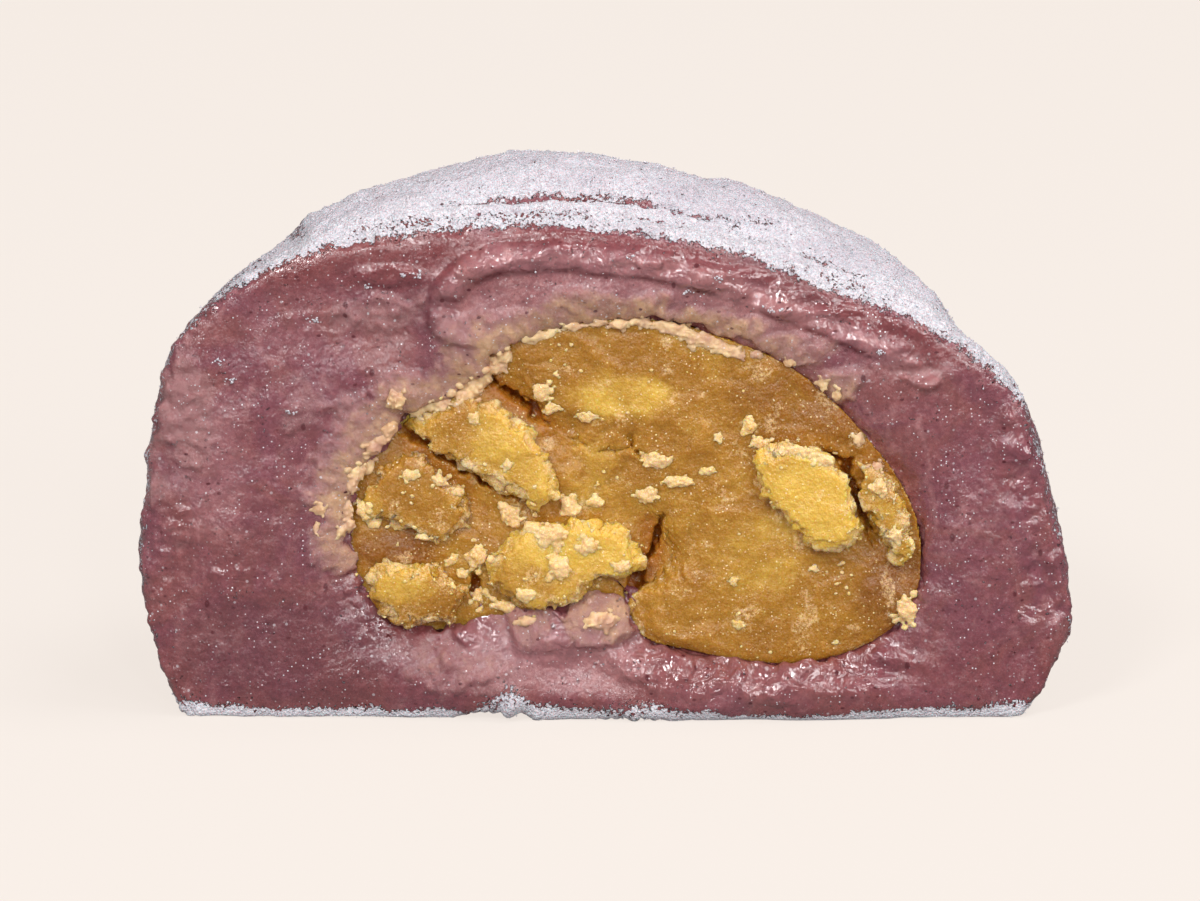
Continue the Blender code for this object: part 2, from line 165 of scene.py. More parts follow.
# Cracks between the paste's masses: their line, half width, depth.
PASTE_CRACKS = [
    ([(-8.3, 22.6), (-6.4, 21.9), (-4.9, 20.6), (-3.9, 19.4)], 0.5, 1.5),
    ([(-13.6, 19.2), (-10.8, 17.7), (-8.2, 15.9), (-5.8, 14.6)], 0.5, 1.3),
    ([(1.3, 18.9), (1.6, 18.0), (2.4, 17.4)], 0.22, 0.5),
    ([(3.6, 13.4), (2.9, 11.2), (2.0, 9.2), (1.2, 7.6)], 0.4, 1.5),
    ([(13.7, 18.0), (15.4, 17.2), (15.7, 15.4), (16.6, 13.9), (17.3, 12.0)], 0.5, 1.3),
    ([(-8.9, 9.6), (-8.2, 7.4)], 0.35, 1.1),
    ([(-3.4, 8.1), (-1.6, 7.6)], 0.35, 1.0),
    ([(-3.6, 19.2), (-0.6, 17.8), (1.4, 18.0)], 0.18, 0.35),
]
# Crumbled chunks on the cut: centre, width, height.
CHUNKS = [
    ((19.3, 7.3), 1.7, 2.1),
    ((3.2, 17.3), 2.5, 1.2),
    ((-4.2, 21.9), 1.3, 1.5),
    ((-3.7, 20.7), 1.1, 0.9),
    ((-1.3, 20.1), 1.6, 0.8),
    ((4.6, 15.9), 2.2, 0.9),
    ((2.5, 14.9), 1.4, 1.2),
    ((6.4, 16.6), 1.2, 0.7),
    ((9.1, 19.6), 1.1, 1.3),
    ((9.9, 18.4), 1.4, 0.9),
    ((7.2, 18.8), 0.7, 0.6),
    ((-6.3, 13.6), 1.6, 1.5),
    ((-4.9, 12.9), 1.4, 1.1),
    ((-2.4, 14.2), 1.3, 1.4),
    ((-0.8, 14.4), 1.4, 0.9),
    ((-3.6, 12.6), 2.2, 1.6),
    ((-3.2, 10.4), 1.8, 1.8),
    ((-1.3, 11.8), 1.4, 1.2),
    ((-15.8, 13.9), 1.1, 1.3),
    ((-15.2, 12.9), 1.2, 0.8),
    ((-13.4, 12.8), 1.9, 0.8),
    ((-11.8, 12.2), 1.6, 0.6),
    ((-10.9, 15.9), 1.3, 1.2),
    ((-12.8, 16.4), 1.1, 0.8),
    ((-9.6, 15.2), 0.9, 0.7),
    ((-8.6, 20.3), 0.8, 0.7),
    ((-6.4, 17.2), 0.9, 0.7),
    ((0.9, 10.4), 1.2, 0.9),
    ((-5.3, 8.6), 1.5, 1.0),
    ((-8.4, 10.8), 1.4, 1.8),
    ((-9.4, 9.6), 0.9, 0.7),
    ((-8.2, 7.9), 1.7, 1.5),
    ((-6.6, 7.4), 1.5, 0.9),
    ((-10.1, 10.4), 0.8, 0.7),
    ((8.4, 6.4), 0.7, 0.6),
    ((8.1, 9.2), 0.6, 0.8),
    ((14.9, 5.0), 0.6, 0.4),
    ((13.4, 10.1), 0.6, 0.5),
    ((19.6, 11.6), 0.6, 1.3),
    ((12.0, 18.1), 2.4, 1.1),
    ((14.0, 17.6), 1.4, 1.0),
    ((17.4, 15.7), 1.4, 0.9),
    ((18.6, 12.6), 0.9, 1.0),
]
# Lighter and darker dough, with painted shade at the lower left: centre, half width, half height, how much lighter.
DOUGH_TONES_AND_SHADE = [
    ((-21.0, 4.5), 9.0, 5.0, -0.75),
    ((-20.0, 12.0), 7.0, 4.0, -0.35),
    ((-3.5, 4.0), 7.5, 2.4, 0.75),
    ((8.0, 2.5), 9.0, 1.8, 0.3),
    ((22.5, 13.0), 5.0, 8.0, -0.2),
    ((25.0, 5.0), 4.0, 4.0, -0.2),
    ((-19.5, 26.5), 4.5, 3.0, 0.35),
    ((-25.5, 17.0), 2.6, 6.0, 0.5),
    ((-14.5, 24.6), 3.6, 1.6, 0.4),
    ((17.5, 24.5), 6.0, 1.6, 0.15),
    ((-11.5, 27.6), 2.0, 2.4, -0.5),
    ((14.0, 28.6), 4.0, 1.2, -0.45),
]
# Pale lumps of dough and paste along the seam: centre, width, height.
SEAM_LUMPS = [
    ((-9.2, 21.4), 1.7, 1.9),
    ((-8.1, 22.6), 1.6, 1.4),
    ((-6.6, 24.3), 1.5, 1.2),
    ((-7.0, 23.3), 1.0, 0.8),
    ((-5.0, 25.4), 1.3, 0.7),
    ((-3.6, 25.9), 0.9, 0.6),
    ((-10.6, 21.0), 1.4, 0.9),
    ((-12.4, 20.4), 1.3, 1.0),
    ((-13.6, 21.6), 1.4, 1.5),
    ((-14.1, 19.4), 1.2, 1.3),
    ((-15.1, 18.2), 1.2, 1.1),
    ((-15.6, 16.8), 1.1, 1.3),
    ((-16.6, 15.6), 1.0, 1.2),
    ((-4.4, 25.6), 1.8, 0.9),
    ((-2.4, 26.2), 1.9, 0.8),
    ((-0.6, 26.4), 1.6, 0.7),
    ((2.0, 26.5), 1.8, 0.8),
    ((4.2, 26.0), 2.2, 1.0),
    ((6.0, 25.3), 2.2, 1.1),
    ((7.6, 24.6), 2.0, 0.9),
    ((9.6, 24.3), 1.2, 0.7),
    ((-8.8, 22.0), 2.2, 1.6),
    ((-7.4, 23.6), 1.6, 1.6),
    ((-11.4, 20.8), 1.4, 1.0),
    ((-14.6, 18.8), 1.4, 1.0),
    ((-16.2, 16.4), 1.2, 1.4),
    ((-16.8, 12.9), 1.0, 1.2),
    ((16.2, 18.6), 1.0, 0.9),
    ((-16.9, 14.0), 1.0, 1.5),
    ((-17.3, 12.6), 0.8, 1.0),
    ((-18.7, 14.2), 1.3, 1.0),
    ((-18.8, 12.9), 0.5, 0.7),
    ((0.7, 26.3), 1.3, 0.9),
    ((3.4, 26.2), 1.6, 0.7),
    ((5.0, 25.7), 1.8, 0.9),
    ((6.8, 25.0), 1.9, 0.9),
    ((8.4, 24.3), 1.0, 0.7),
    ((11.7, 23.9), 0.9, 0.8),
    ((13.9, 22.5), 0.9, 1.3),
    ((14.7, 21.8), 0.7, 0.9),
    ((17.3, 16.9), 1.0, 0.8),
    ((-0.6, 6.6), 2.6, 1.4),
    ((-5.2, 6.6), 1.4, 0.9),
]
# Bigger starch grains that were carried onto the cut.
STARCH_SPOTS = [
    (-13.2, 29.7), (-12.1, 29.7), (-15.4, 28.9), (-18.9, 26.7), (-25.0, 24.0), (-24.3, 22.8),
    (5.1, 28.7), (7.0, 29.5), (10.6, 27.5), (17.5, 24.6), (1.5, 31.0), (-20.5, 20.8),
]  # fmt: skip
# Lighter and darker places on the loose pieces: centre, half width, half height, tone added.
LOOSE_TONES = [
    ((-3.2, 12.2), 2.8, 2.0, 0.6),
    ((1.0, 11.6), 2.0, 1.6, 0.35),
    ((-5.6, 9.2), 2.6, 1.8, -0.25),
    ((-13.4, 9.2), 2.4, 1.6, 0.45),
    ((-10.4, 7.4), 2.0, 1.6, -0.2),
    ((-6.0, 19.4), 3.0, 2.0, 0.5),
    ((-4.8, 16.2), 2.2, 2.4, 0.4),
    ((-11.2, 20.0), 2.4, 1.2, -0.1),
    ((-12.6, 15.6), 2.6, 2.0, -0.2),
    ((13.2, 14.8), 2.8, 2.8, 0.6),
]
# The tone of the paste's loose pieces, from -1 to 1.
LOOSE_PIECES = {
    "paste_flake_upper_left": 0.15,
    "paste_lump_left": 0.15,
    "paste_lump_lower_left": -0.05,
    "paste_lump_middle": 0.45,
    "paste_flake_right": 0.6,
    "paste_flake_rim": 0.25,
}


def shade(red, green, blue):
    """A colour as light, from the 0 to 255 values of a colour chart."""
    return tuple(((value / 255 + 0.055) / 1.055) ** 2.4 for value in (red, green, blue))


def smoothstep(low, high, value):
    """0 below low, 1 above high, and an even slope between them."""
    share = np.clip((value - low) / (high - low), 0.0, 1.0)
    return share * share * (3.0 - 2.0 * share)


def lumps(points, size, seed=0.0):
    """Soft lumps about this big, from -1 to 1."""
    places = (points / size + seed * 7.31).tolist()
    return np.array([noise.noise(place) for place in places]) * 1.4


def rough(points, size, seed=0.0, octaves=4):
    """Lumps with smaller and smaller lumps on them."""
    places = (points / size + seed * 7.31).tolist()
    return np.array([noise.fractal(place, 0.8, 2.0, octaves) for place in places])


def pebbles(points, size, seed=0.0):
    """Rounded grains packed side by side, 1 at the middle of a grain and 0 between grains."""
    places = (points / size + seed * 7.31).tolist()
    gaps = np.array([noise.voronoi(place)[0][:2] for place in places])
    return np.clip((gaps[:, 1] - gaps[:, 0]) * 1.6, 0.0, 1.0)


def facets(x, z, size, seed=0.0):
    """Flat tilted facets about this big with steps between them, from about -1 to 1."""
    heights = []
    for place in np.stack([x / size, np.full(len(x), seed * 3.7), z / size], axis=1).tolist():
        (near, second), (middle, _) = (found[:2] for found in noise.voronoi(place))
        tilt = noise.noise_vector(middle * 9.7)
        lean = tilt.dot(Vector(place) - middle)
        level = noise.noise(middle * 5.3) + 0.9 * lean
        heights.append(level * min(1.0, 4.0 * (second - near)))
    return 1.6 * np.array(heights)


def patches(x, z, places, wander=0.0):
    """The strongest of several soft oval patches, each with its own strength."""
    most = np.zeros(len(x))
    for (centre_x, centre_z), half_width, half_height, strength in places:
        far = np.hypot((x - centre_x) / half_width, (z - centre_z) / half_height) + wander
        patch = strength * (1.0 - smoothstep(0.5, 1.25, far))
        most = np.where(np.abs(patch) > np.abs(most), patch, most)
    return most


def mounds(x, z, places):
    """Rounded rises and hollows added together, each with its own height."""
    total = np.zeros(len(x))
    for (centre_x, centre_z), half_width, half_height, height in places:
        total += height * np.exp(-(((x - centre_x) / half_width) ** 2) - ((z - centre_z) / half_height) ** 2)
    return total


def line_distance(x, z, line):
    """How far each place is from a line of points, and how far along the line its nearest point is."""
    nearest = np.full(len(x), 1e9)
    share = np.zeros(len(x))
    steps = len(line) - 1
    for step, ((ax, az), (bx, bz)) in enumerate(zip(line, line[1:])):
        along = ((x - ax) * (bx - ax) + (z - az) * (bz - az)) / ((bx - ax) ** 2 + (bz - az) ** 2)
        along = np.clip(along, 0.0, 1.0)
        away = np.hypot(x - ax - along * (bx - ax), z - az - along * (bz - az))
        share = np.where(away < nearest, (step + along) / steps, share)
        nearest = np.minimum(away, nearest)
    return nearest, share


def cad_copy(node):
    """A bmesh of a solid, with its loose triangles joined."""
    bm = bmesh.new()
    bm.from_mesh(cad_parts[node].data)
    bmesh.ops.remove_doubles(bm, verts=bm.verts, dist=0.001 * MM)
    return bm


def even_skin(bm, step):
    """One closed skin of evenly spaced points round all that the bmesh holds."""
    source = bpy.data.meshes.new("source")
    bm.to_mesh(source)
    bm.free()
    holder = bpy.data.objects.new("holder", source)
    bpy.context.scene.collection.objects.link(holder)
    remesh = holder.modifiers.new("Even skin", "REMESH")
    remesh.mode = "VOXEL"
    remesh.voxel_size = step
    mesh = modified(holder)
    bpy.data.objects.remove(holder)
    bpy.data.meshes.remove(source)
    return mesh


def rounded(mesh, passes):
    """The mesh with its edges softened."""
    bm = bmesh.new()
    bm.from_mesh(mesh)
    for _ in range(passes):
        bmesh.ops.smooth_vert(
            bm, verts=bm.verts, factor=0.5, use_axis_x=True, use_axis_y=True, use_axis_z=True
        )
    bm.to_mesh(mesh)
    bm.free()
    return mesh


def modified(holder):
    """The holder's mesh with its modifiers applied."""
    graph = bpy.context.evaluated_depsgraph_get()
    return bpy.data.meshes.new_from_object(holder.evaluated_get(graph))


def thinned(mesh, plainness, triangles):
    """The mesh with about this many triangles, taken first from where plainness is near 1."""
    holder = bpy.data.objects.new("holder", mesh)
    bpy.context.scene.collection.objects.link(holder)
    group = holder.vertex_groups.new(name="plain")
    levels = np.round(np.clip(plainness, 0.0, 1.0) * 8) / 8
    for level in np.unique(levels):
        group.add(np.flatnonzero(levels == level).tolist(), float(level), "REPLACE")
    decimate = holder.modifiers.new("Thin", "DECIMATE")
    decimate.ratio = min(1.0, triangles / (2 * len(mesh.polygons)))
    decimate.vertex_group = group.name
    thin = modified(holder)
    bpy.data.objects.remove(holder)
    bpy.data.meshes.remove(mesh)
    return thin


class Skin:
    """A mesh's points and normals in millimetres, to be pushed about and painted."""

    def __init__(self, mesh):
        self.mesh = mesh
        places = np.empty(3 * len(mesh.vertices))
        mesh.vertices.foreach_get("co", places)
        self.points = places.reshape(-1, 3) / MM
        self.read_normals()

    def read_normals(self):
        normals = np.empty(3 * len(self.mesh.vertices))
        self.mesh.vertices.foreach_get("normal", normals)
        self.normals = normals.reshape(-1, 3)

    @property
    def x(self):
        return self.points[:, 0]

    @property
    def z(self):
        return self.points[:, 2]

    @property
    def behind(self):
        """How far behind the cut each point is."""
        return self.points[:, 1] - CUT

    @property
    def facing(self):
        """1 where the skin faces straight out of the cut."""
        return -self.normals[:, 1]

    def push(self, amount):
        """Moves the points along their normals."""
        self.points = self.points + self.normals * amount[:, None]
        self.write()

    def write(self):
        self.mesh.vertices.foreach_set("co", (self.points * MM).ravel())
        self.mesh.update()
        self.read_normals()

    def paint(self, name, values):
        layer = self.mesh.attributes.new(name, "FLOAT", "POINT")
        layer.data.foreach_set("value", values.astype(np.float32))

    def triangles(self):
        self.mesh.calc_loop_triangles()
        corners = np.empty(3 * len(self.mesh.loop_triangles), np.int32)
        self.mesh.loop_triangles.foreach_get("vertices", corners)
        return corners.reshape(-1, 3)

    def scatter(self, chance, count, dice):
        """Places on the skin and its normals there, more of them where chance is high."""
        corners = self.triangles()
        a, b, c = (self.points[corners[:, side]] for side in range(3))
        area = np.linalg.norm(np.cross(b - a, c - a), axis=1)
        weight = area * chance[corners].mean(axis=1)
        chosen = dice.choice(len(corners), count, p=weight / weight.sum())
        first, second = dice.random((2, count))
        first, second = np.where(first + second > 1, (1 - first, 1 - second), (first, second))
        a, b, c = a[chosen], b[chosen], c[chosen]
        places = a + (b - a) * first[:, None] + (c - a) * second[:, None]
        return places, self.normals[corners[chosen, 0]]


def skin_tree(mesh):
    """A search tree of a mesh, in metres."""
    bm = bmesh.new()
    bm.from_mesh(mesh)
    tree = bvhtree.BVHTree.FromBMesh(bm)
    bm.free()
    return tree


def make_piece(name, mesh, material, slot, nodes=()):
    """Shows a finished mesh as a piece of the cake."""
    mesh.name = name
    mesh.materials.clear()
    mesh.materials.append(material)
    mesh.shade_smooth()
    piece = bpy.data.objects.new(name, mesh)
    bpy.context.scene.collection.objects.link(piece)
    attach(piece, "root")
    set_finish(piece, slot)
    if nodes:
        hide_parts(*nodes)
    return piece


def add_chunk(bm, place, size, dice, grains=0):
    """A broken chunk of food with this width, thickness and height in millimetres, built up of grains."""
    turn = Matrix.Rotation(dice.uniform(-0.6, 0.6), 3, "Y")
    parts = [((0.0, 0.0, 0.0), 1.0 if grains == 0 else 0.92)]
    for _ in range(grains):
        way = Vector(dice.normal(size=3)).normalized() * dice.uniform(0.34, 0.48)
        parts.append((tuple(way), dice.uniform(0.1, 0.24)))
    for middle, share in parts:
        for vert in bmesh.ops.create_icosphere(bm, subdivisions=1, radius=0.5 * share)["verts"]:
            side = turn @ (vert.co * dice.uniform(0.78, 1.18) + Vector(middle))
            vert.co = Vector(at + out * wide for at, out, wide in zip(place, side, size)) * MM


# Materials ---------------------------------------------------------------------------------------


class Finish:
    """A material under construction, with short calls for the nodes that the finishes share."""

    def __init__(self, name):
        self.material = bpy.data.materials.new(name)
        self.material.use_nodes = True
        self.tree = self.material.node_tree
        self.shader = self.tree.nodes["Principled BSDF"]
        self.places = self.add("ShaderNodeTexCoord").outputs["Object"]

    def add(self, kind, **settings):
        node = self.tree.nodes.new(kind)
        for name, value in settings.items():
            setattr(node, name, value)
        return node

    def set(self, socket, value):
        if isinstance(value, bpy.types.NodeSocket):
            self.tree.links.new(value, socket)
        else:
            socket.default_value = value

    def painted(self, name):
        """What was painted on the skin under this name."""
        return self.add("ShaderNodeAttribute", attribute_name=name).outputs["Fac"]

    def cloud(self, size, detail=3.0, roughness=0.55, stretch=None, warp=0.0):
        """Cloudy noise from about 0.25 to 0.75, with lumps of this size in millimetres."""
        node = self.add("ShaderNodeTexNoise")
        self.set(node.inputs["Vector"], self.stretched(stretch) if stretch else self.places)
        self.set(node.inputs["Scale"], 1.0 / (size * MM))
        self.set(node.inputs["Detail"], detail)
        self.set(node.inputs["Roughness"], roughness)
        self.set(node.inputs["Distortion"], warp)
        return node.outputs["Fac"]

    def stretched(self, stretch):
        node = self.add("ShaderNodeMapping")
        self.set(node.inputs["Vector"], self.places)
        self.set(node.inputs["Scale"], stretch)
        return node.outputs["Vector"]

    def cells(self, size, feature="F1", stretch=None):
        """A pattern of cells of this size in millimetres."""
        node = self.add("ShaderNodeTexVoronoi", feature=feature)
        self.set(node.inputs["Vector"], self.stretched(stretch) if stretch else self.places)
        self.set(node.inputs["Scale"], 1.0 / (size * MM))
        return node

    def specks(self, size, spacing, share, stretch=None):
        """Small spots of this size and spacing, in this share of the cells."""
        cells = self.cells(spacing, stretch=stretch)
        near = self.ramp(cells.outputs["Distance"], 0.5 * size / spacing, 0.3 * size / spacing)
        chance = self.add("ShaderNodeSeparateColor")
        self.set(chance.inputs["Color"], cells.outputs["Color"])
        kept = self.ramp(chance.outputs["Red"], 1.0 - share, 1.0 - 0.9 * share)
        return self.maths("MULTIPLY", near, kept)

    def ramp(self, value, low, high, start=0.0, end=1.0):
        """value taken from low..high to start..end with soft ends."""
        node = self.add("ShaderNodeMapRange", interpolation_type="SMOOTHSTEP")
        if low > high:
            low, high, start, end = high, low, end, start
        self.set(node.inputs["Value"], value)
        self.set(node.inputs["From Min"], low)
        self.set(node.inputs["From Max"], high)
        self.set(node.inputs["To Min"], start)
        self.set(node.inputs["To Max"], end)
        return node.outputs["Result"]

    def maths(self, operation, first, second):
        node = self.add("ShaderNodeMath", operation=operation)
        self.set(node.inputs[0], first)
        self.set(node.inputs[1], second)
        return node.outputs[0]

    def mix(self, share, first, second, blend="MIX"):
        """first where share is 0 and second where it is 1."""
        node = self.add("ShaderNodeMix", data_type="RGBA", blend_type=blend)
        self.set(node.inputs[0], share)
        for socket, value in ((node.inputs[6], first), (node.inputs[7], second)):
            self.set(socket, value if isinstance(value, bpy.types.NodeSocket) else (*value, 1.0))
        return node.outputs[2]

    def bump(self, height, depth, strength=1.0, under=None):
        """Relief of this depth in millimetres, on top of the relief below it."""
        node = self.add("ShaderNodeBump")
        self.set(node.inputs["Height"], height)
        self.set(node.inputs["Distance"], depth * MM)
        self.set(node.inputs["Strength"], strength)
        if under is not None:
            self.set(node.inputs["Normal"], under)
        return node.outputs["Normal"]

    def soft(self, weight, radius, scale):
        """Light that enters the food and comes out nearby, this many millimetres away."""
        self.set(self.shader.inputs["Subsurface Weight"], weight)
        self.set(self.shader.inputs["Subsurface Radius"], radius)
        self.set(self.shader.inputs["Subsurface Scale"], scale * MM)

    def done(self, colour, roughness, normal):
        self.set(self.shader.inputs["Base Color"], colour)
        self.set(self.shader.inputs["Roughness"], roughness)
        self.set(self.shader.inputs["Normal"], normal)
        return self.material


def dough_finish(colours):
    """Translucent mauve dough with bran specks, paste smears, wet shine and a coat of starch."""
    finish = Finish("rice_dough_finish")
    layers = ("pale", "peach", "wet", "ruddy", "dust", "milky", "thin", "light", "stain")
    pale, peach, wet, ruddy, dust, milky, thin, light, stain = map(finish.painted, layers)
    broad = finish.ramp(finish.cloud(6.0, detail=5.0, warp=1.2), 0.4, 0.62)
    colour = finish.mix(broad, colours.mauve, colours.mauve_brown)
    clouds = finish.cloud(2.6, detail=6.0, roughness=0.65, stretch=(1.0, 1.0, 0.7), warp=2.0)
    clouds = finish.ramp(clouds, 0.5, 0.7, 0.0, 0.5)
    # The milky layer holds cloudy dough under the fold and the painted highlight along the fold's ridge.
    colour = finish.mix(finish.maths("ADD", clouds, milky), colour, colours.milky)
    colour = finish.mix(finish.maths("MULTIPLY", ruddy, 0.9), colour, colours.ruddy)
    # The light layer holds the dough's lighter and darker tones, and below 0 the painted shade towards the lower left.
    lighter = finish.ramp(light, 0.0, 1.0, 0.0, 0.65)
    colour = finish.mix(lighter, colour, colours.milky)
    darker = finish.ramp(light, -1.0, 0.0, 0.6, 0.0)
    colour = finish.mix(darker, colour, colours.darkest_and_shaded_mauve)
    mottle = finish.ramp(finish.cloud(0.55, detail=7.0, roughness=0.8), 0.32, 0.68)
    colour = finish.mix(0.6, colour, finish.mix(mottle, (0.33, 0.31, 0.33), (0.68, 0.68, 0.68)), "OVERLAY")
    grainy = finish.ramp(finish.cloud(0.5, detail=6.0, roughness=0.8), 0.32, 0.68)
    smear = finish.ramp(finish.maths("ADD", pale, finish.maths("MULTIPLY", grainy, 0.35)), 0.1, 1.15)
    patchy = finish.ramp(finish.cloud(1.1, detail=5.0), 0.38, 0.6)
    colour = finish.mix(finish.ramp(smear, 0.0, 0.9, 0.0, 0.85), colour, colours.milky)
    smear_colour = finish.mix(finish.maths("MULTIPLY", patchy, 0.6), colours.smear, colours.milky)
    peachy = finish.ramp(finish.maths("ADD", peach, finish.maths("MULTIPLY", grainy, 0.3)), 0.25, 1.2)
    colour = finish.mix(peachy, colour, smear_colour)
    colour = finish.mix(finish.maths("MULTIPLY", stain, 0.7), colour, colours.stain)
    bran = finish.specks(0.42, 1.5, 0.45, stretch=(1.0, 1.0, 0.6))
    colour = finish.mix(finish.maths("MULTIPLY", bran, 0.85), colour, colours.bran)
    where = finish.ramp(finish.cloud(4.0, detail=2.0), 0.35, 0.65, 0.3, 1.0)
    fine_bran = finish.specks(0.26, 0.55, 0.4, stretch=(0.75, 1.0, 1.1))
    colour = finish.mix(finish.maths("MULTIPLY", fine_bran, where), colour, colours.bran)
    # Painted glints: tiny white specks laid into the dough's colour where its wet surface sparkles, partly real starch
    # grains.
    where = finish.ramp(finish.cloud(2.0, detail=4.0), 0.42, 0.62, 0.15, 1.0)
    glints = finish.maths("MULTIPLY", finish.specks(0.12, 0.27, 0.4), where)
    colour = finish.mix(glints, colour, colours.starch)
    # Painted glints and starch grit: white specks laid into the colour over the smeared dough.
    grit_and_glints = finish.maths("MULTIPLY", finish.specks(0.24, 0.8, 0.3), finish.ramp(pale, 0.0, 1.0, 0.35, 0.9))
    colour = finish.mix(grit_and_glints, colour, colours.starch)

    clumps = finish.maths("ADD", finish.cloud(0.9, detail=8.0, roughness=0.8), finish.cloud(0.22, detail=2.0))
    cover = finish.maths("ADD", dust, finish.ramp(clumps, 0.6, 1.4, -0.55, 0.55))
    cover = finish.ramp(cover, 0.42, 0.58)
    powder_shade = finish.ramp(finish.cloud(0.26, detail=6.0, roughness=0.85), 0.36, 0.62)
    powder = finish.mix(powder_shade, colours.starch_shade, colours.starch)
    streaky = finish.cloud(3.0, detail=5.0, roughness=0.65, stretch=(0.45, 1.0, 1.0), warp=0.8)
    thinner = finish.maths("ADD", finish.maths("MULTIPLY", thin, 0.5), finish.ramp(streaky, 0.45, 0.65, 0.0, 0.4))
    powder = finish.mix(thinner, powder, colours.starch_shade)
    bare = finish.ramp(clumps, 0.8, 1.15, 0.75, 0.1)
    pores = finish.maths("MULTIPLY", finish.specks(0.17, 0.33, 0.5), bare)
    pores = finish.maths("MULTIPLY", pores, finish.ramp(thin, 0.0, 0.7, 0.45, 1.0))
    powder = finish.mix(pores, powder, colours.mauve_brown)
    colour = finish.mix(cover, colour, powder)

    smooth = finish.ramp(wet, 0.0, 1.0, 0.2, 0.07)
    uneven = finish.maths("MULTIPLY", finish.ramp(mottle, 0.0, 1.0, -0.05, 0.12), finish.ramp(wet, 0.0, 1.0, 1.0, 0.2))
    gloss = finish.maths("ADD", smooth, uneven)
    dry = finish.ramp(cover, 0.0, 1.0, 0.0, 0.92)
    dull = finish.ramp(smear, 0.0, 1.0, 0.0, 0.26)
    roughness = finish.maths("MAXIMUM", finish.maths("MAXIMUM", dry, dull), gloss)

    damp = finish.ramp(wet, 0.0, 1.0, 0.3, 1.5)
    ripples = finish.maths("MULTIPLY", finish.cloud(1.2, detail=2.0, roughness=0.45, warp=0.5), damp)
    relief = finish.bump(ripples, 0.34)
    grit = finish.maths("MULTIPLY", finish.cloud(0.3, detail=2.0), finish.ramp(wet, 0.0, 1.0, 1.0, 0.3))
    relief = finish.bump(grit, 0.06, under=relief)
    relief = finish.bump(finish.maths("MULTIPLY", grainy, smear), 0.05, under=relief)
    grains = finish.maths("MULTIPLY", finish.cells(0.16).outputs["Distance"], cover)
    relief = finish.bump(grains, 0.14, under=relief)
    caked = finish.maths("MULTIPLY", finish.cloud(0.6, detail=6.0, roughness=0.75), cover)
    relief = finish.bump(caked, 0.1, under=relief)
    finish.soft(0.3, (1.0, 0.42, 0.4), 1.0)
    finish.set(finish.shader.inputs["IOR"], 1.7)
    return finish.done(colour, roughness, relief)


def paste_finish(name, colours, tone_shift=0.0, reach=1.4):
    """Grainy yellow bean paste, painted shade of orange-brown in its cracks, pale on its crumbled edges."""
    finish = Finish(name)
    tone, crack_shade, crumb = (finish.painted(layer) for layer in ("tone", "crack_shade", "crumb"))
    cloudy = finish.ramp(finish.cloud(2.2, detail=4.0, roughness=0.6, warp=0.3), 0.3, 0.7, -0.35, 0.35)
    tone = finish.maths("ADD", tone, finish.maths("ADD", finish.maths("MULTIPLY", cloudy, 0.6), tone_shift))
    colour = finish.mix(finish.ramp(tone, -1.0, 0.1), colours.brown, colours.amber)
    colour = finish.mix(finish.ramp(tone, -0.1, 1.0), colour, colours.yellow)
    grain = finish.ramp(finish.cloud(0.22, detail=4.0, roughness=0.8), 0.3, 0.7)
    colour = finish.mix(0.4, colour, finish.mix(grain, (0.42, 0.4, 0.36), (0.68, 0.68, 0.64)), "OVERLAY")
    crumbly = finish.maths("ADD", crumb, finish.ramp(grain, 0.0, 1.0, -0.3, 0.3))
    colour = finish.mix(finish.ramp(crumbly, 0.1, 1.1, 0.0, 0.9), colour, colours.crumb)
    # Painted shade: orange-brown laid into the cracks, the hollows and along the seam.
    colour = finish.mix(finish.ramp(crack_shade, 0.0, 1.0, 0.0, 0.92), colour, colours.crack)
    # Painted glints: pale specks laid into the paste's colour where its grains would catch highlights.
    where = finish.ramp(finish.cloud(1.8, detail=3.0), 0.4, 0.6, 0.3, 0.95)
    glints = finish.maths("MULTIPLY", finish.specks(0.13, 0.27, 0.62), where)
    colour = finish.mix(glints, colour, colours.glint)
    roughness = finish.ramp(grain, 0.0, 1.0, 0.16, 0.4)
    relief = finish.bump(finish.cloud(0.28, detail=3.0, roughness=0.6), 0.07)
    relief = finish.bump(finish.cells(0.15).outputs["Distance"], 0.03, under=relief)
    finish.soft(0.7, (1.0, 0.58, 0.16), reach)
    finish.set(finish.shader.inputs["IOR"], 1.48)
    return finish.done(colour, roughness, relief)


def seam_finish(colours):
    """Pale, half see-through lumps where the dough and the paste have rubbed together."""
    finish = Finish("seam_lump_finish")
    cloudy = finish.ramp(finish.cloud(1.4, detail=5.0, roughness=0.65), 0.35, 0.65)
    colour = finish.mix(cloudy, colours.smear, colours.crumb)
    rosy = finish.ramp(finish.cloud(2.0, detail=3.0), 0.45, 0.65, 0.0, 0.45)
    colour = finish.mix(rosy, colour, colours.milky)
    # Painted glints: near-white specks laid into the lumps' colour.
    glints = finish.specks(0.12, 0.36, 0.3)
    colour = finish.mix(finish.maths("MULTIPLY", glints, 0.7), colour, colours.starch)
    relief = finish.bump(finish.cloud(0.4, detail=4.0, roughness=0.65), 0.06)
    finish.soft(0.4, (1.0, 0.7, 0.5), 0.6)
    finish.set(finish.shader.inputs["IOR"], 1.45)
    return finish.done(colour, finish.ramp(cloudy, 0.0, 1.0, 0.25, 0.45), relief)


def starch_finish(colours):
    """Dry white starch."""
    finish = Finish("starch_finish")
    shade_of = finish.ramp(finish.cloud(0.4, detail=4.0, roughness=0.8), 0.3, 0.7)
    colour = finish.mix(shade_of, colours.starch_shade, colours.starch)
    relief = finish.bump(finish.cloud(0.1, detail=2.0), 0.02)
    finish.soft(0.2, (1.0, 1.0, 1.0), 0.2)
    return finish.done(colour, finish.ramp(shade_of, 0.0, 1.0, 0.75, 0.95), relief)


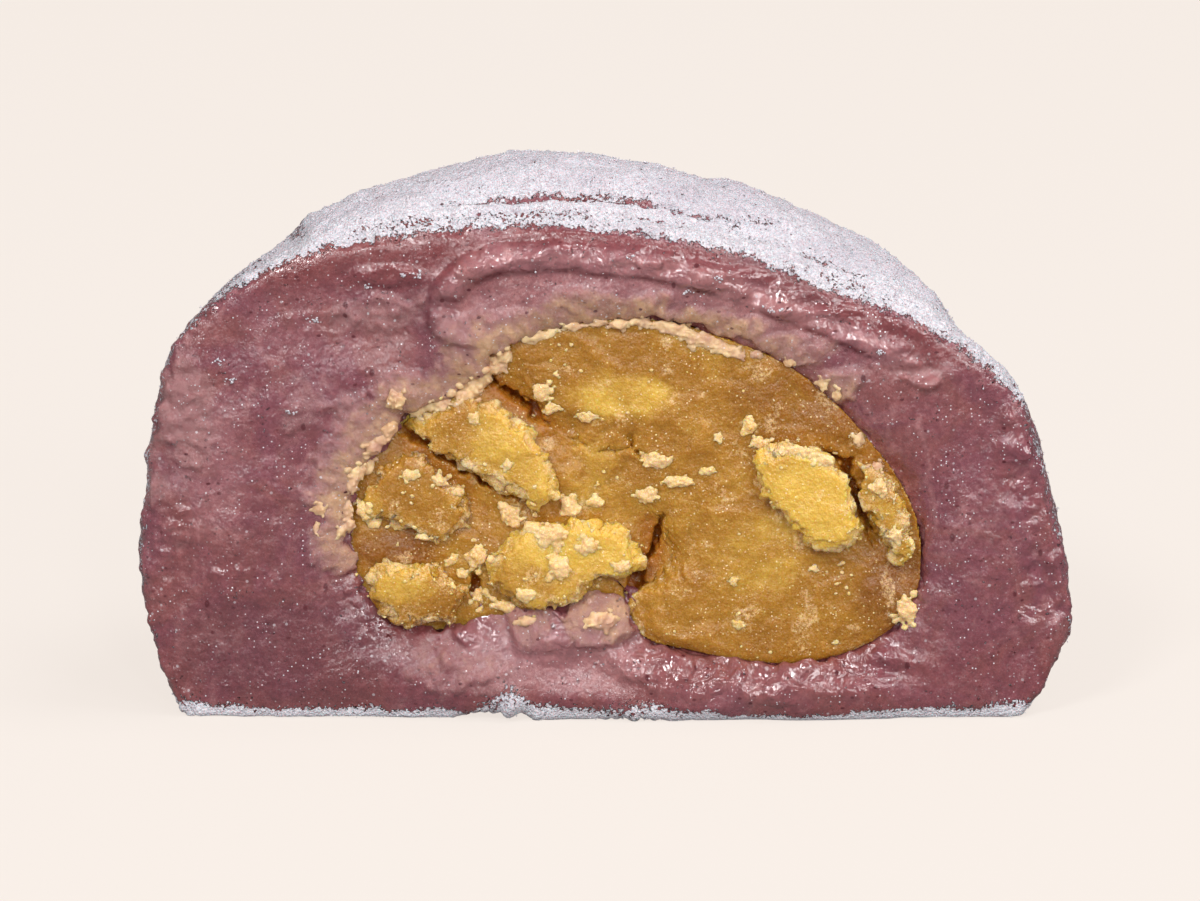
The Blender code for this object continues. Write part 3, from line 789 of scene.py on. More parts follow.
def table_finish(colour, glow):
    """A pale even table, lit from within, that still shows a faint shadow."""
    finish = Finish("table_finish")
    even = finish.cloud(60.0, detail=1.0)
    surface = finish.mix(finish.ramp(even, 0.3, 0.7, 0.0, 0.1), (0.13, 0.125, 0.12), (0.12, 0.12, 0.12))
    finish.set(finish.shader.inputs["Emission Color"], (*colour, 1.0))
    finish.set(finish.shader.inputs["Emission Strength"], glow)
    finish.set(finish.shader.inputs["Specular IOR Level"], 0.0)
    return finish.done(surface, 0.9, finish.bump(even, 0.01))


# Settings ----------------------------------------------------------------------------------------


class CakeColours(bpy.types.PropertyGroup):
    """The colours of the dough, the paste and the starch."""

    mauve: FloatVectorProperty(
        name="Mauve", description="Most of the dough", subtype="COLOR", default=shade(127, 70, 80)
    )
    mauve_brown: FloatVectorProperty(
        name="Mauve brown", description="Warmer patches of the dough", subtype="COLOR",
        default=shade(133, 76, 76),
    )  # fmt: skip
    ruddy: FloatVectorProperty(
        name="Ruddy", description="Dough just under the starch", subtype="COLOR",
        default=shade(124, 60, 62),
    )  # fmt: skip
    # Milky is also laid on as the painted highlight along the fold.
    milky: FloatVectorProperty(
        name="Milky", description="Cloudy, see-through dough", subtype="COLOR",
        default=shade(172, 120, 120),
    )  # fmt: skip
    smear: FloatVectorProperty(
        name="Smear", description="Dough smeared with paste", subtype="COLOR",
        default=shade(212, 168, 130),
    )  # fmt: skip
    bran: FloatVectorProperty(
        name="Bran", description="Specks in the dough", subtype="COLOR", default=shade(88, 26, 36)
    )
    # Also the colour of the painted shade towards the lower left.
    darkest_and_shaded_mauve: FloatVectorProperty(
        name="Deep mauve", description="The darkest dough", subtype="COLOR", default=shade(98, 52, 60)
    )
    stain: FloatVectorProperty(
        name="Stain", description="Dough stained by the paste at the seam", subtype="COLOR",
        default=shade(158, 98, 62),
    )  # fmt: skip
    # Starch is also the colour of the painted glints and glinting grit on the dough and the seam lumps.
    starch: FloatVectorProperty(
        name="Starch", description="Dry starch", subtype="COLOR", default=shade(238, 234, 239)
    )
    starch_shade: FloatVectorProperty(
        name="Starch shade", description="Thin or damp starch", subtype="COLOR",
        default=shade(196, 187, 197),
    )  # fmt: skip
    brown: FloatVectorProperty(
        name="Brown", description="Dense, moist paste", subtype="COLOR", default=shade(138, 84, 24)
    )
    amber: FloatVectorProperty(
        name="Amber", description="Most of the paste", subtype="COLOR", default=shade(172, 120, 38)
    )
    yellow: FloatVectorProperty(
        name="Yellow", description="The brightest paste", subtype="COLOR", default=shade(222, 178, 76)
    )
    crumb: FloatVectorProperty(
        name="Crumb", description="Dry, crumbled edges", subtype="COLOR", default=shade(246, 210, 158)
    )
    # Painted shade: the orange-brown laid into the paste's cracks and hollows and along its seam.
    crack: FloatVectorProperty(
        name="Crack", description="Deep in the cracks", subtype="COLOR", default=shade(158, 84, 16)
    )
    # Colour of the painted glints on the paste.
    glint: FloatVectorProperty(
        name="Glint", description="Fine grains that catch the light", subtype="COLOR",
        default=shade(246, 226, 178),
    )  # fmt: skip


class DoughSettings(bpy.types.PropertyGroup):
    """The dough's skin and relief."""

    step: FloatProperty(
        name="Step", description="Spacing of the skin's points", default=0.2 * MM, unit="LENGTH"
    )
    triangles: IntProperty(name="Triangles", description="Most triangles in the skin", default=196000)
    fold_height: FloatProperty(
        name="Fold height", description="How far the fold stands out", default=0.42 * MM, unit="LENGTH"
    )
    powder_depth: FloatProperty(
        name="Powder depth", description="Thickness of the starch on the crown", default=0.3 * MM,
        unit="LENGTH",
    )  # fmt: skip


class PasteSettings(bpy.types.PropertyGroup):
    """The paste's skin, grain and crumbs."""

    step: FloatProperty(
        name="Step", description="Spacing of the core's points", default=0.13 * MM, unit="LENGTH"
    )
    triangles: IntProperty(name="Triangles", description="Most triangles in the core", default=190000)
    fine_step: FloatProperty(
        name="Fine step", description="Spacing of a loose piece's points", default=0.1 * MM, unit="LENGTH"
    )
    crumb_step: FloatProperty(
        name="Crumb step", description="Spacing of a crumb's points", default=0.08 * MM, unit="LENGTH"
    )
    broken_edge: FloatProperty(
        name="Broken edge", description="How far in from its edge a loose piece is broken up",
        default=1.0 * MM, unit="LENGTH",
    )  # fmt: skip
    small_crumbs: IntProperty(name="Small crumbs", description="Small crumbs on the paste", default=160)
    edge_crumbs: IntProperty(
        name="Edge crumbs", description="Small crumbs on the edge of each loose piece", default=70
    )


class StarchSettings(bpy.types.PropertyGroup):
    """The loose starch."""

    grains: IntProperty(name="Grains", description="Loose grains of starch", default=12000)
    size: FloatProperty(
        name="Size", description="Usual size of a grain", default=0.08 * MM, unit="LENGTH"
    )


class StageSettings(bpy.types.PropertyGroup):
    """The table, the lights and the camera."""

    table: FloatVectorProperty(
        name="Table", description="The pale table", subtype="COLOR", default=shade(244, 234, 226)
    )
    elevation: FloatProperty(
        name="Elevation", description="How far the camera looks down", default=math.radians(15.0),
        unit="ROTATION",
    )  # fmt: skip
    distance: FloatProperty(
        name="Distance", description="From the camera to the cut", default=0.4, unit="LENGTH"
    )
    lens: FloatProperty(name="Lens", description="Focal length", default=186.0, unit="CAMERA")


# Pieces ------------------------------------------------------------------------------------------


def crown_cover(skin):
    """How thickly starch lies, from 0 at the cut and little on the sides to 1 on the crown."""
    points, x, z = skin.points, skin.x, skin.z
    upward = skin.normals[:, 2]
    needed = 0.48 + 0.26 * smoothstep(-15.0, -24.0, x)
    wander = 0.5 * lumps(points, 1.4, 1) + 0.35 * lumps(points, 0.5, 2)
    behind = smoothstep(1.0, 4.0, skin.behind)
    crown = smoothstep(needed - 0.1 - 0.2 * behind, needed + 0.12 + 0.14 * behind, upward + 0.14 * wander)
    film = 0.3 + 0.16 * lumps(points, 5.0, 3) + 0.2 * smoothstep(12.0, 26.0, z)
    streaks = np.zeros(len(x))
    for start, end, half_width, bareness in CREASE_STREAKS:
        away, share = line_distance(x, skin.behind, [start, end])
        ends = np.sin(np.pi * np.clip(share, 0.02, 0.98)) ** 0.8
        wavy = away + 0.2 * lumps(points, 1.0, 4) + 0.12 * lumps(points, 0.4, 61)
        bare = bareness * ends * (1.0 - smoothstep(0.25 * half_width, half_width, wavy))
        streaks = np.maximum(streaks, bare)
    cover = np.maximum(crown * (1.0 - 0.75 * streaks), film * (1.0 - crown))
    fade = smoothstep(-0.2, 1.0, skin.behind + 0.35 * wander)
    return cover * fade, crown * fade, streaks


def base_cover(skin):
    """Starch picked up from the table, along the bottom edge and on the puckers."""
    points, x, z = skin.points, skin.x, skin.z
    height = 0.8 + 0.36 * lumps(points, 1.6, 5) + 0.5 * smoothstep(22.0, 27.5, np.abs(x))
    return 1.0 - smoothstep(0.4, 1.3, z / (height + pucker_height(x)))


def pucker_height(x):
    """How far up the starch reaches on the puckers in the base."""
    return sum(high * np.exp(-(((x - at) / half_width) ** 2)) for at, half_width, high in PUCKERS)


def fold_step(x, z):
    """Above the fold the dough sits back a little: 0 below the fold's line and 1 above it."""
    line_x, line_z = zip(*FOLD_LINE[4:])
    return smoothstep(-0.3, 1.2, z - np.interp(x, line_x, line_z)) * smoothstep(-9.0, -6.0, x)


def shape_dough(skin, paste_tree, sizes):
    """Gives the dough its folds, smears, puckers and starch, and closes it onto the paste."""
    points, x, z, behind = skin.points, skin.x, skin.z, skin.behind
    face = smoothstep(0.45, 0.85, skin.facing) * (1.0 - smoothstep(1.0, 2.4, behind))
    nearest = [paste_tree.find_nearest(place) for place in (points * MM).tolist()]
    to_paste = np.array([tuple(found[0]) for found in nearest]) / MM - points
    seam = np.linalg.norm(to_paste, axis=1)
    pocket = (seam < 0.75) & (behind > 0.9)
    upward = skin.normals[:, 2]

    crown, thick, streaks = crown_cover(skin)
    away_from_paste = smoothstep(1.5, 2.6, seam)
    dust = np.maximum(crown * (1.0 - 0.85 * face), base_cover(skin)) * away_from_paste

    wander = 0.3 * lumps(points, 1.5, 55) + 0.16 * lumps(points, 0.6, 56)
    pale = patches(x, z, SMEARS, wander) * face
    upper_left = np.clip(1.25 - np.hypot((x + 6.0) / 19.0, (z - 23.0) / 12.0), 0.0, 1.0)
    seam_band = 1.0 - smoothstep(0.3, 1.6 + 1.0 * lumps(points, 1.7, 6), seam)
    seam_band = 0.85 * seam_band * upper_left * face
    rim = smoothstep(13.0, 16.0, z) * (1.0 - smoothstep(24.0, 27.5, z))
    rim_band = (1.0 - smoothstep(1.2, 3.8, x + 30.0)) * rim * (0.7 + 0.8 * lumps(points, 1.5, 7))
    pale = np.clip(np.maximum(np.maximum(pale, seam_band), 0.75 * rim_band), 0.0, 1.0)
    away, along = line_distance(x, z, FOLD_LINE)
    wet = np.maximum(patches(x, z, WET_PATCHES), 0.9 * (1.0 - smoothstep(0.6, 1.3, away))) * face
    under_fold = smoothstep(-11.5, -9.0, x) * smoothstep(16.0, 8.0, x) * smoothstep(19.0, 25.0, z)
    # Painted highlight: a milky band along the fold's ridge, which also takes the ruddy tint away there.
    fold_highlight = 0.6 * np.exp(-((away / 0.8) ** 2)) * smoothstep(0.0, 0.1, along)
    milky = 0.6 * under_fold * (1.0 - fold_step(x, z)) * (1.0 - smoothstep(2.5, 6.0, seam)) * face
    milky = np.maximum(milky, fold_highlight * face)
    step = fold_step(x, z)
    left_top = smoothstep(27.0, 30.0, z) * smoothstep(-6.0, -10.0, x)
    ruddy = np.maximum(step, 0.7 * left_top) + 0.3 * lumps(points, 4.0, 8) + 0.35 * smoothstep(9.0, 2.0, z)
    ruddy = np.clip(ruddy - fold_highlight, 0.0, 1.0) * face

    broad = 0.2 * lumps(points, 6.5, 9) + 0.1 * lumps(points, 2.8, 10) + mounds(x, z, SWELLINGS)
    fine = 0.045 * lumps(points, 1.1, 11) + 0.02 * lumps(points, 0.5, 12)
    fold_height = sizes.fold_height / MM * (1.0 - 0.5 * along) * smoothstep(0.0, 0.08, along)
    fold = fold_height * np.exp(-((away / 1.1) ** 2)) * (1.0 + 0.5 * lumps(points, 1.3, 13)) - 0.14 * step
    ragged = lumps(points, 1.5, 14) + 0.6 * lumps(points, 0.6, 28)
    lip = 0.2 * np.exp(-((seam / 1.2) ** 2)) * (0.6 + ragged)
    pale_edge = smoothstep(0.3, 0.55, pale + 0.35 * lumps(points, 0.9, 29))
    crumbly = pale_edge * (0.25 + 0.16 * (pebbles(points, 0.8, 15) - 0.4) + 0.14 * lumps(points, 0.6, 16))
    flow = points * np.array([0.45, 1.0, 1.2])
    wrinkles = wet * (0.5 * lumps(flow, 2.4, 17) + 0.22 * lumps(flow, 1.0, 18))
    near_rim = smoothstep(4.5, 0.5, 30.0 - np.abs(x))
    rim_folds = lumps(points * np.array([1.6, 1.0, 0.5]), 1.0, 19) + lumps(points, 0.7, 19)
    rim_folds = 0.12 * near_rim * rim_folds
    face_relief = face * (broad + fine + fold + lip + crumbly + wrinkles + rim_folds)

    soft_skin = 0.3 * lumps(points, 9.0, 20) + 0.12 * lumps(points, 3.0, 21) + 0.04 * lumps(points, 0.9, 22)
    powder = sizes.powder_depth / MM * dust * (0.55 + 0.35 * pebbles(points, 0.6, 23))
    powder = powder + dust * (0.14 * lumps(points, 1.2, 24) + 0.08 * lumps(points, 0.45, 25))
    edge = 1.0 - smoothstep(0.5, 3.0, behind)
    clumpy = dust * (1.0 - smoothstep(0.6, 1.8, behind)) * (0.3 * pebbles(points, 0.7, 62) - 0.06)
    ragged = 0.22 * lumps(points, 2.2, 47) + 0.16 * lumps(points, 0.9, 48) + 0.1 * lumps(points, 0.45, 49)
    skin_relief = (1.0 - face) * (soft_skin + edge * ragged + powder + clumpy - 0.14 * streaks * thick)
    high = pucker_height(x)
    puckered = smoothstep(0.1, 0.7, high) * (1.0 - smoothstep(0.6, 1.3, z / (0.5 + high)))
    puckers = puckered * (0.35 + 0.35 * lumps(points, 0.9, 26)) * (1.0 - smoothstep(1.0, 2.5, behind))

    down = smoothstep(0.5, 0.9, -upward) * smoothstep(1.0, 0.3, z)
    relief = np.where(pocket, 0.0, (face_relief + skin_relief + puckers) * (1.0 - down))
    lap = (0.45 + patches(x, z, LAPS)) * (1.0 + 0.7 * lumps(points, 1.5, 57) + 0.5 * lumps(points, 0.6, 58))
    close = lap * (1.0 - smoothstep(0.5, 1.7 + lap, seam)) * (1.0 - smoothstep(1.2, 2.6, behind))
    skin.points = skin.points + to_paste / np.maximum(seam, 0.01)[:, None] * close[:, None]
    skin.push(relief)
    skin.points[:, 2] = np.maximum(skin.points[:, 2], 0.0)
    skin.write()
    thin = smoothstep(1.4, 6.0, behind + 1.2 * lumps(points, 3.0, 27) + 0.5 * smoothstep(-4.0, -14.0, x) * behind)
    thin = thin * (1.0 - face)
    # Lighter and darker tones of the dough, with painted shade towards the lower left.
    light = patches(x, z, DOUGH_TONES_AND_SHADE) * face
    stain = np.exp(-((seam / 0.55) ** 2)) * (1.0 - pale) * face
    layers = {"dust": dust, "pale": pale, "wet": wet, "ruddy": ruddy, "milky": milky, "thin": thin}
    peach = pale * (1.0 - smoothstep(0.8, 4.2, seam + lumps(points, 1.2, 59)))
    layers |= {"light": light, "stain": stain, "peach": peach}
    for name, values in layers.items():
        skin.paint(name, values)


def shape_core(skin, dough_tree):
    """Brings the paste's hollows forward, breaks its surface and opens the cracks."""
    points, x, z, behind = skin.points, skin.x, skin.z, skin.behind
    front = smoothstep(0.0, 0.4, skin.facing)
    shallow = 0.28 * behind
    to_dough = np.array([dough_tree.find_nearest(place)[3] for place in (points * MM).tolist()]) / MM
    rim = 1.0 - smoothstep(0.3, 2.2, to_dough)
    hollow = smoothstep(2.2, 4.5, behind)
    crack = np.zeros(len(x))
    for line, half_width, depth in PASTE_CRACKS:
        away, share = line_distance(x, z, line)
        taper = np.sin(np.pi * np.clip(share, 0.02, 0.98)) ** 0.5
        ragged = away + 0.28 * lumps(points, 1.1, 30) + 0.16 * lumps(points, 0.4, 31)
        crack = np.maximum(crack, depth * taper * (1.0 - smoothstep(0.3, 1.0, ragged / half_width)))
    warp_x, warp_z = 0.5 * lumps(points, 1.6, 32) + x, 0.5 * lumps(points, 1.6, 33) + z
    broken = 0.34 * facets(warp_x, warp_z, 5.5, 1) + 0.12 * facets(warp_x, warp_z, 2.2, 2)
    broken = (broken + 0.04 * lumps(points, 0.7, 45)) * smoothstep(0.2, 1.4, to_dough)
    sunk = 0.16 * (1.0 - smoothstep(0.2, 1.0, to_dough))
    skin.points[:, 1] = points[:, 1] + front * (shallow - behind + crack + sunk)
    skin.write()
    skin.push(front * (broken + grain_of(points)))
    skin.paint("tone", patches(x, z, PASTE_TONES) + 0.15 * lumps(points, 5.0, 46))
    # Painted shade: darker orange-brown in the cracks, along the seam towards the right and in the hollows.
    crack_shade = np.maximum(smoothstep(0.2, 0.9, crack), 0.25 * rim * smoothstep(-2.0, 8.0, x))
    skin.paint("crack_shade", np.maximum(crack_shade, 0.6 * hollow))
    ragged_edge = smoothstep(0.3, 0.7, rough(points, 1.8, 34)) * 0.5
    skin.paint("crumb", np.clip(ragged_edge - crack, 0.0, 1.0))


def grain_of(points, coarse=1.0):
    """The fine grain of bean paste, in millimetres."""
    return coarse * (0.04 * (pebbles(points, 0.42, 35) - 0.5) + 0.03 * rough(points, 0.35, 36))


def shape_loose_piece(skin, edge, tone):
    """Breaks a loose piece's edge into small scallops and leaves its front fairly smooth."""
    points = skin.points
    front = 0.1 * facets(skin.x, skin.z, 2.6, 3) + 0.08 * lumps(points, 1.4, 40)
    shift = edge[:, None] * jagged(points, 37, 0.42)
    skin.points[:, [0, 2]] += shift[:, [0, 2]]
    skin.write()
    skin.push((1.0 - edge) * front + grain_of(points))
    skin.paint("tone", tone + patches(skin.x, skin.z, LOOSE_TONES) + 0.2 * lumps(points, 3.0, 42))
    skin.paint("crack_shade", np.zeros(len(points)))
    dry_edge = edge**2 * (0.45 + 0.7 * lumps(points, 1.2, 43))
    dry_patch = 0.45 * smoothstep(0.2, 0.7, rough(points, 1.5, 44))
    skin.paint("crumb", np.clip(np.maximum(dry_edge, dry_patch), 0.0, 1.0))


def jagged(points, seed, reach):
    """Shifts that turn a smooth edge into small teeth, up to about this many millimetres."""
    coarse = [lumps(points, 1.5, seed + number) for number in range(3)]
    middle = [lumps(points, 0.55, seed + number) for number in range(3)]
    fine = [lumps(points, 0.24, seed + number) for number in range(3)]
    return reach * np.stack([a + 0.7 * b + 0.35 * c for a, b, c in zip(coarse, middle, fine)], axis=1)


def edge_of(skin, reach):
    """1 on the sides of a slab and 0 on its front, away from the sides by more than the reach."""
    sides = skin.points[np.abs(skin.facing) < 0.55]
    found = kdtree.KDTree(len(sides))
    for number, place in enumerate(sides.tolist()):
        found.insert(place, number)
    found.balance()
    away = np.array([found.find(point)[2] for point in skin.points.tolist()])
    return 1.0 - smoothstep(0.1 * reach, reach, away)


class RICECAKE_OT_dough(bpy.types.Operator):
    """Model the rice dough round the solid's shape"""

    bl_idname = "ricecake.dough"
    bl_label = "Rice Dough"

    def execute(self, context):
        sizes = context.scene.ricecake_dough
        mesh = rounded(even_skin(cad_copy("rice_dough"), sizes.step), 12)
        skin = Skin(mesh)
        paste_tree = skin_tree(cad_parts["bean_paste"].data)
        inside = np.array([paste_tree.find_nearest(place)[3] for place in (skin.points * MM).tolist()])
        hidden = (inside / MM < 0.8) & (skin.behind > 2.2)
        under = (skin.z < 0.5) & (skin.normals[:, 2] < -0.9) & (skin.behind > 1.0)
        plainness = np.maximum(1.0 * (hidden | under), 0.5 * smoothstep(5.0, 16.0, skin.behind))
        mesh = thinned(mesh, plainness, sizes.triangles)
        shape_dough(Skin(mesh), paste_tree, sizes)
        finish = dough_finish(context.scene.ricecake_colours)
        make_piece("dough", mesh, finish, "rice_dough", ["rice_dough"])
        return {"FINISHED"}


class RICECAKE_OT_paste(bpy.types.Operator):
    """Model the core of the bean paste"""

    bl_idname = "ricecake.paste"
    bl_label = "Bean Paste"

    def execute(self, context):
        sizes = context.scene.ricecake_paste
        mesh = even_skin(cad_copy("bean_paste"), sizes.step)
        skin = Skin(mesh)
        mesh = thinned(mesh, 1.0 * (skin.behind > 4.0) * (skin.facing < 0.5), sizes.triangles)
        shape_core(Skin(mesh), skin_tree(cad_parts["rice_dough"].data))
        finish = paste_finish("bean_paste_finish", context.scene.ricecake_colours)
        make_piece("paste_core", mesh, finish, "bean_paste", ["bean_paste"])
        return {"FINISHED"}


class RICECAKE_OT_loose_paste(bpy.types.Operator):
    """Model the flakes and lumps that broke off the paste"""

    bl_idname = "ricecake.loose_paste"
    bl_label = "Flakes and Lumps"

    def execute(self, context):
        sizes = context.scene.ricecake_paste
        finish = paste_finish("loose_paste_finish", context.scene.ricecake_colours, 0.1, 0.9)
        for node, tone in LOOSE_PIECES.items():
            mesh = even_skin(cad_copy(node), sizes.fine_step)
            skin = Skin(mesh)
            shape_loose_piece(skin, edge_of(skin, sizes.broken_edge / MM), tone)
            make_piece(node + "_crumbly", mesh, finish, "loose_paste", [node])
        return {"FINISHED"}


class RICECAKE_OT_crumbs(bpy.types.Operator):
    """Heap crumbs of paste on the cut and rub lumps of dough and paste along the seam"""

    bl_idname = "ricecake.crumbs"
    bl_label = "Crumbs"

    def execute(self, context):
        sizes = context.scene.ricecake_paste
        colours = context.scene.ricecake_colours
        below = [skin_tree(piece.data) for piece in shown_pieces()]
        dice = np.random.default_rng(SEED + 20)
        bm = bmesh.new()
        heap(bm, CHUNKS, below, 0.6, 8, dice)
        skin = Skin(bpy.data.objects["paste_core"].data)
        chance = smoothstep(0.2, 0.8, skin.facing) * smoothstep(0.25, 0.7, rough(skin.points, 3.0, 50))
        places, _ = skin.scatter(chance, sizes.small_crumbs, dice)
        for x, _, z in places:
            wide = dice.uniform(0.16, 0.42)
            add_chunk(bm, (x, front_depth(below, x, z), z), (wide, wide, 0.8 * wide), dice)
        for node in LOOSE_PIECES:
            skin = Skin(bpy.data.objects[node + "_crumbly"].data)
            chance = smoothstep(0.1, 0.5, skin.facing) * smoothstep(0.2, 0.6, edge_of(skin, 0.5))
            places, _ = skin.scatter(chance, sizes.edge_crumbs, dice)
            for place in places:
                wide = dice.uniform(0.12, 0.3)
                add_chunk(bm, place, (wide, 0.7 * wide, wide), dice)
        mesh = crumbled(bm, sizes.crumb_step)
        make_piece("paste_crumbs", mesh, paste_finish("crumb_finish", colours, 0.1, 0.35), "loose_paste")

        bm = bmesh.new()
        heap(bm, SEAM_LUMPS, below, 0.7, 5, dice)
        make_piece("seam_lumps", crumbled(bm, sizes.crumb_step), seam_finish(colours), "rice_dough")
        return {"FINISHED"}


def heap(bm, chunks, below, thickness, crumbs, dice):
    """Sets each chunk on the cut with smaller crumbs round it."""
    for (x, z), width, height in chunks:
        thick = thickness * min(width, height)
        add_chunk(bm, (x, front_depth(below, x, z), z), (width, thick, height), dice, grains=34)
        for _ in range(crumbs):
            turn = dice.uniform(0.0, 2.0 * math.pi)
            reach = dice.uniform(0.3, 0.62)
            at_x, at_z = x + reach * width * math.cos(turn), z + reach * height * math.sin(turn)
            wide = dice.uniform(0.2, 0.45) * min(width, height) + 0.12
            size = (wide, 0.6 * wide, wide * dice.uniform(0.6, 1.0))
            add_chunk(bm, (at_x, front_depth(below, at_x, at_z), at_z), size, dice, grains=4)


def crumbled(bm, step):
    """The chunks as one skin with the grain of broken paste."""
    mesh = even_skin(bm, step)
    skin = Skin(mesh)
    points = skin.points
    skin.points = skin.points + jagged(points, 51, 0.07)
    skin.write()
    skin.paint("tone", 0.5 + 0.3 * lumps(points, 3.0, 53))
    skin.paint("crack_shade", np.zeros(len(points)))
    skin.paint("crumb", np.clip(0.9 + 0.3 * lumps(points, 1.0, 54), 0.0, 1.0))
    return mesh


def shown_pieces():
    """The cake's pieces made so far."""
    return [piece for piece in bpy.data.objects if piece.type == "MESH" and "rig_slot" in piece]


def front_depth(trees, x, z):
    """Where a straight line into the cut first meets a piece, in millimetres."""
    start = Vector((x, CUT - 10.0, z)) * MM
    hits = [tree.ray_cast(start, Vector((0, 1, 0)))[0] for tree in trees]
    return min((hit.y / MM for hit in hits if hit), default=CUT)


def copied(grain, places, sizes, dice):
    """A mesh with a turned copy of the grain at each place, in millimetres."""
    shape = np.array([vert.co for vert in grain.verts])
    sides = np.array([[vert.index for vert in face.verts] for face in grain.faces])
    turns, _ = np.linalg.qr(dice.normal(size=(len(places), 3, 3)))
    turns = turns * np.sign(np.linalg.det(turns))[:, None, None]
    stretch = dice.uniform(0.7, 1.4, (len(places), 1, 3))
    points = (shape[None] * stretch * sizes[:, None, None]) @ turns + places[:, None]
    faces = sides[None] + (np.arange(len(places)) * len(shape))[:, None, None]
    mesh = bpy.data.meshes.new("grains")
    mesh.from_pydata((points.reshape(-1, 3) * MM).tolist(), [], faces.reshape(-1, sides.shape[1]).tolist())
    return mesh


class RICECAKE_OT_starch(bpy.types.Operator):
    """Dust the cake with loose grains of starch"""

    bl_idname = "ricecake.starch"
    bl_label = "Starch"

    def execute(self, context):
        sizes = context.scene.ricecake_starch
        dice = np.random.default_rng(SEED + 30)
        dough = bpy.data.objects["dough"]
        skin = Skin(dough.data)
        dust = np.empty(len(skin.points))
        dough.data.attributes["dust"].data.foreach_get("value", dust)
        on_table = (skin.z < 0.02) & (skin.normals[:, 2] < -0.7)
        chance = np.where(on_table, 0.0, dust**1.5 + 0.02)
        places, normals = skin.scatter(chance, sizes.grains, dice)
        size = sizes.size / MM * dice.lognormal(0.0, 0.35, len(places))
        places = places + normals * (dice.uniform(0.0, 0.9, len(places)) * size)[:, None]
        spots = []
        tree = skin_tree(dough.data)
        for x, z in STARCH_SPOTS:
            for _ in range(9):
                at_x, at_z = x + dice.normal(0, 0.18), z + dice.normal(0, 0.11)
                spots.append((at_x, front_depth([tree], at_x, at_z) - 0.05, at_z))
        places = np.vstack([places, spots])
        size = np.concatenate([size, dice.uniform(0.1, 0.24, len(spots))])
        places[:, 2] = np.maximum(places[:, 2], 0.8 * size)
        grain = bmesh.new()
        bmesh.ops.create_cone(grain, cap_ends=True, segments=4, radius1=0.5, radius2=0.0, depth=0.7)
        bmesh.ops.triangulate(grain, faces=grain.faces)
        mesh = copied(grain, places, size, dice)
        grain.free()
        finish = starch_finish(context.scene.ricecake_colours)
        make_piece("loose_starch", mesh, finish, "rice_dough")
        return {"FINISHED"}


def add_light(name, place, target, size, power):
    """A square soft light that faces the target."""
    light = bpy.data.lights.new(name, "AREA")
    light.size = size
    light.energy = power
    lamp = bpy.data.objects.new(name, light)
    lamp.location = place
    lamp.rotation_euler = (Vector(target) - Vector(place)).to_track_quat("-Z", "Y").to_euler()
    bpy.context.scene.collection.objects.link(lamp)


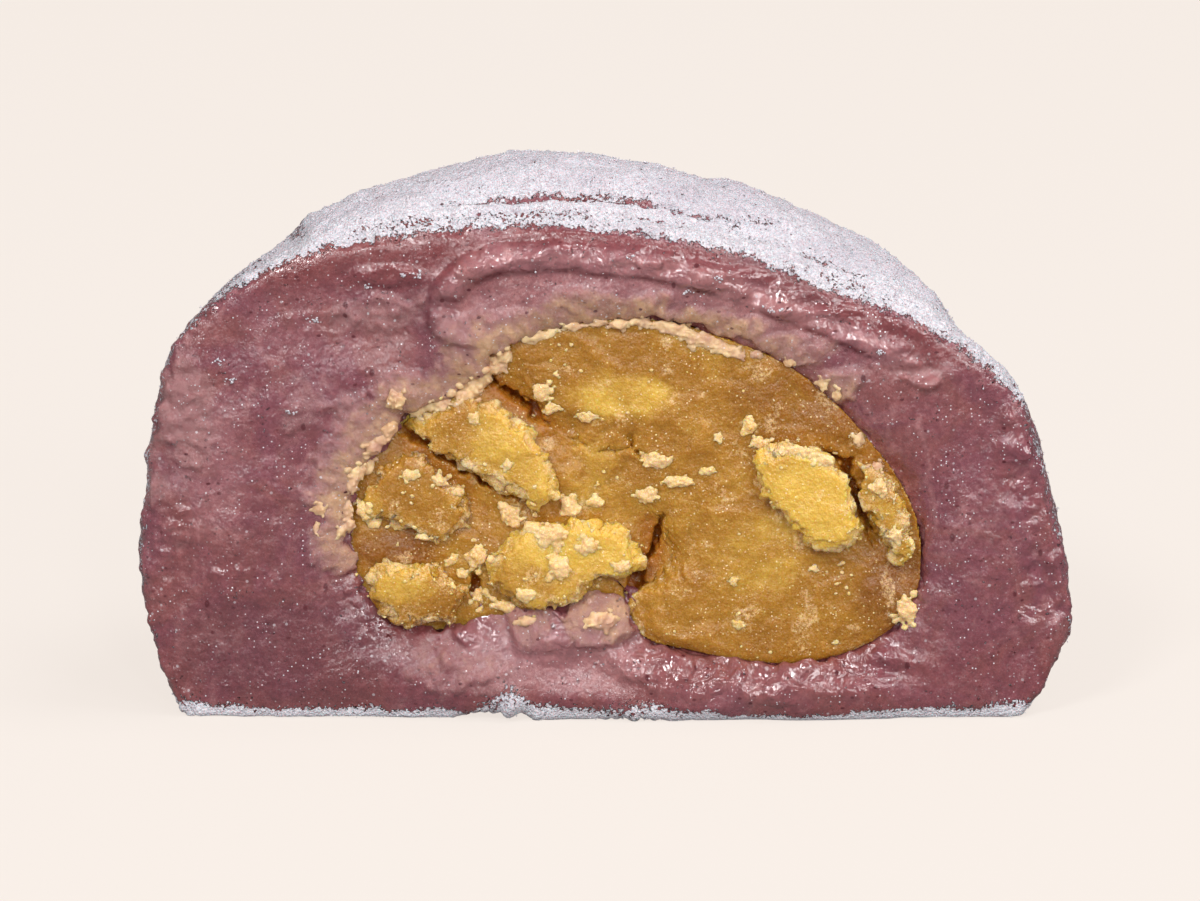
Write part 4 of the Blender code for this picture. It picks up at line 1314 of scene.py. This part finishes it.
class RICECAKE_OT_stage(bpy.types.Operator):
    """Set the table, the soft lights and the camera"""

    bl_idname = "ricecake.stage"
    bl_label = "Stage"

    def execute(self, context):
        sizes = context.scene.ricecake_stage
        scene = context.scene
        scene.view_settings.view_transform = "Standard"
        bm = bmesh.new()
        bmesh.ops.create_circle(bm, cap_ends=True, segments=96, radius=1.6)
        rim = [edge for edge in bm.edges if edge.is_boundary]
        for lift, spread in ((0.02, 1.03), (0.08, 1.05), (0.7, 1.06)):
            risen = bmesh.ops.extrude_edge_only(bm, edges=rim)["geom"]
            verts = [part for part in risen if isinstance(part, bmesh.types.BMVert)]
            rim = [part for part in risen if isinstance(part, bmesh.types.BMEdge)]
            for vert in verts:
                flat = Vector((vert.co.x, vert.co.y)).normalized() * 1.6 * spread
                vert.co = (flat.x, flat.y, lift)
        bmesh.ops.recalc_face_normals(bm, faces=bm.faces)
        mesh = bpy.data.meshes.new("table")
        bm.to_mesh(mesh)
        bm.free()
        mesh.shade_smooth()
        mesh.materials.append(table_finish(tuple(sizes.table), 0.87))
        table = bpy.data.objects.new("table", mesh)
        scene.collection.objects.link(table)
        table.visible_diffuse = False
        table.visible_glossy = False

        world = bpy.data.worlds.new("studio")
        world.use_nodes = True
        background = world.node_tree.nodes["Background"]
        background.inputs["Color"].default_value = (1.0, 0.975, 0.965, 1.0)
        background.inputs["Strength"].default_value = 0.3
        scene.world = world

        target = Vector((-0.5 * MM, CUT * MM, 18.0 * MM))
        add_light("key", (-0.42, -0.75, 0.78), target, 0.24, 6.5)
        add_light("front", (0.16, -0.85, 0.45), target, 0.1, 1.6)
        add_light("low", (-0.25, -0.8, 0.16), target, 0.08, 0.8)
        add_light("fill", (0.7, -0.9, 0.45), target, 0.4, 4.3)
        add_light("top", (0.5, -0.1, 0.95), target, 0.5, 5.4)
        lens = bpy.data.cameras.new("camera")
        lens.lens = sizes.lens
        lens.sensor_width = 36.0
        lens.clip_start = 0.01
        camera = bpy.data.objects.new("camera", lens)
        back = Vector((0.0, -math.cos(sizes.elevation), math.sin(sizes.elevation)))
        camera.location = target + back * sizes.distance
        camera.rotation_euler = back.to_track_quat("Z", "Y").to_euler()
        scene.collection.objects.link(camera)
        scene.camera = camera
        return {"FINISHED"}


class RICECAKE_PT_panel(bpy.types.Panel):
    """Lists the steps that dress the rice cake"""

    bl_label = "Rice Cake"
    bl_idname = "RICECAKE_PT_panel"
    bl_space_type = "VIEW_3D"
    bl_region_type = "UI"
    bl_category = "Rice Cake"

    def draw(self, context):
        for operator in OPERATORS:
            self.layout.operator(operator.bl_idname)


OPERATORS = (
    RICECAKE_OT_dough,
    RICECAKE_OT_paste,
    RICECAKE_OT_loose_paste,
    RICECAKE_OT_crumbs,
    RICECAKE_OT_starch,
    RICECAKE_OT_stage,
)
SETTINGS = {
    "ricecake_colours": CakeColours,
    "ricecake_dough": DoughSettings,
    "ricecake_paste": PasteSettings,
    "ricecake_starch": StarchSettings,
    "ricecake_stage": StageSettings,
}


def register():
    for name, settings in SETTINGS.items():
        bpy.utils.register_class(settings)
        setattr(bpy.types.Scene, name, PointerProperty(type=settings))
    for cls in (*OPERATORS, RICECAKE_PT_panel):
        bpy.utils.register_class(cls)


def unregister():
    for cls in (RICECAKE_PT_panel, *reversed(OPERATORS)):
        bpy.utils.unregister_class(cls)
    for name, settings in SETTINGS.items():
        delattr(bpy.types.Scene, name)
        bpy.utils.unregister_class(settings)


def main():
    register()
    bpy.ops.ricecake.dough()
    bpy.ops.ricecake.paste()
    bpy.ops.ricecake.loose_paste()
    bpy.ops.ricecake.crumbs()
    bpy.ops.ricecake.starch()
    bpy.ops.ricecake.stage()


if __name__ == "__main__":
    main()
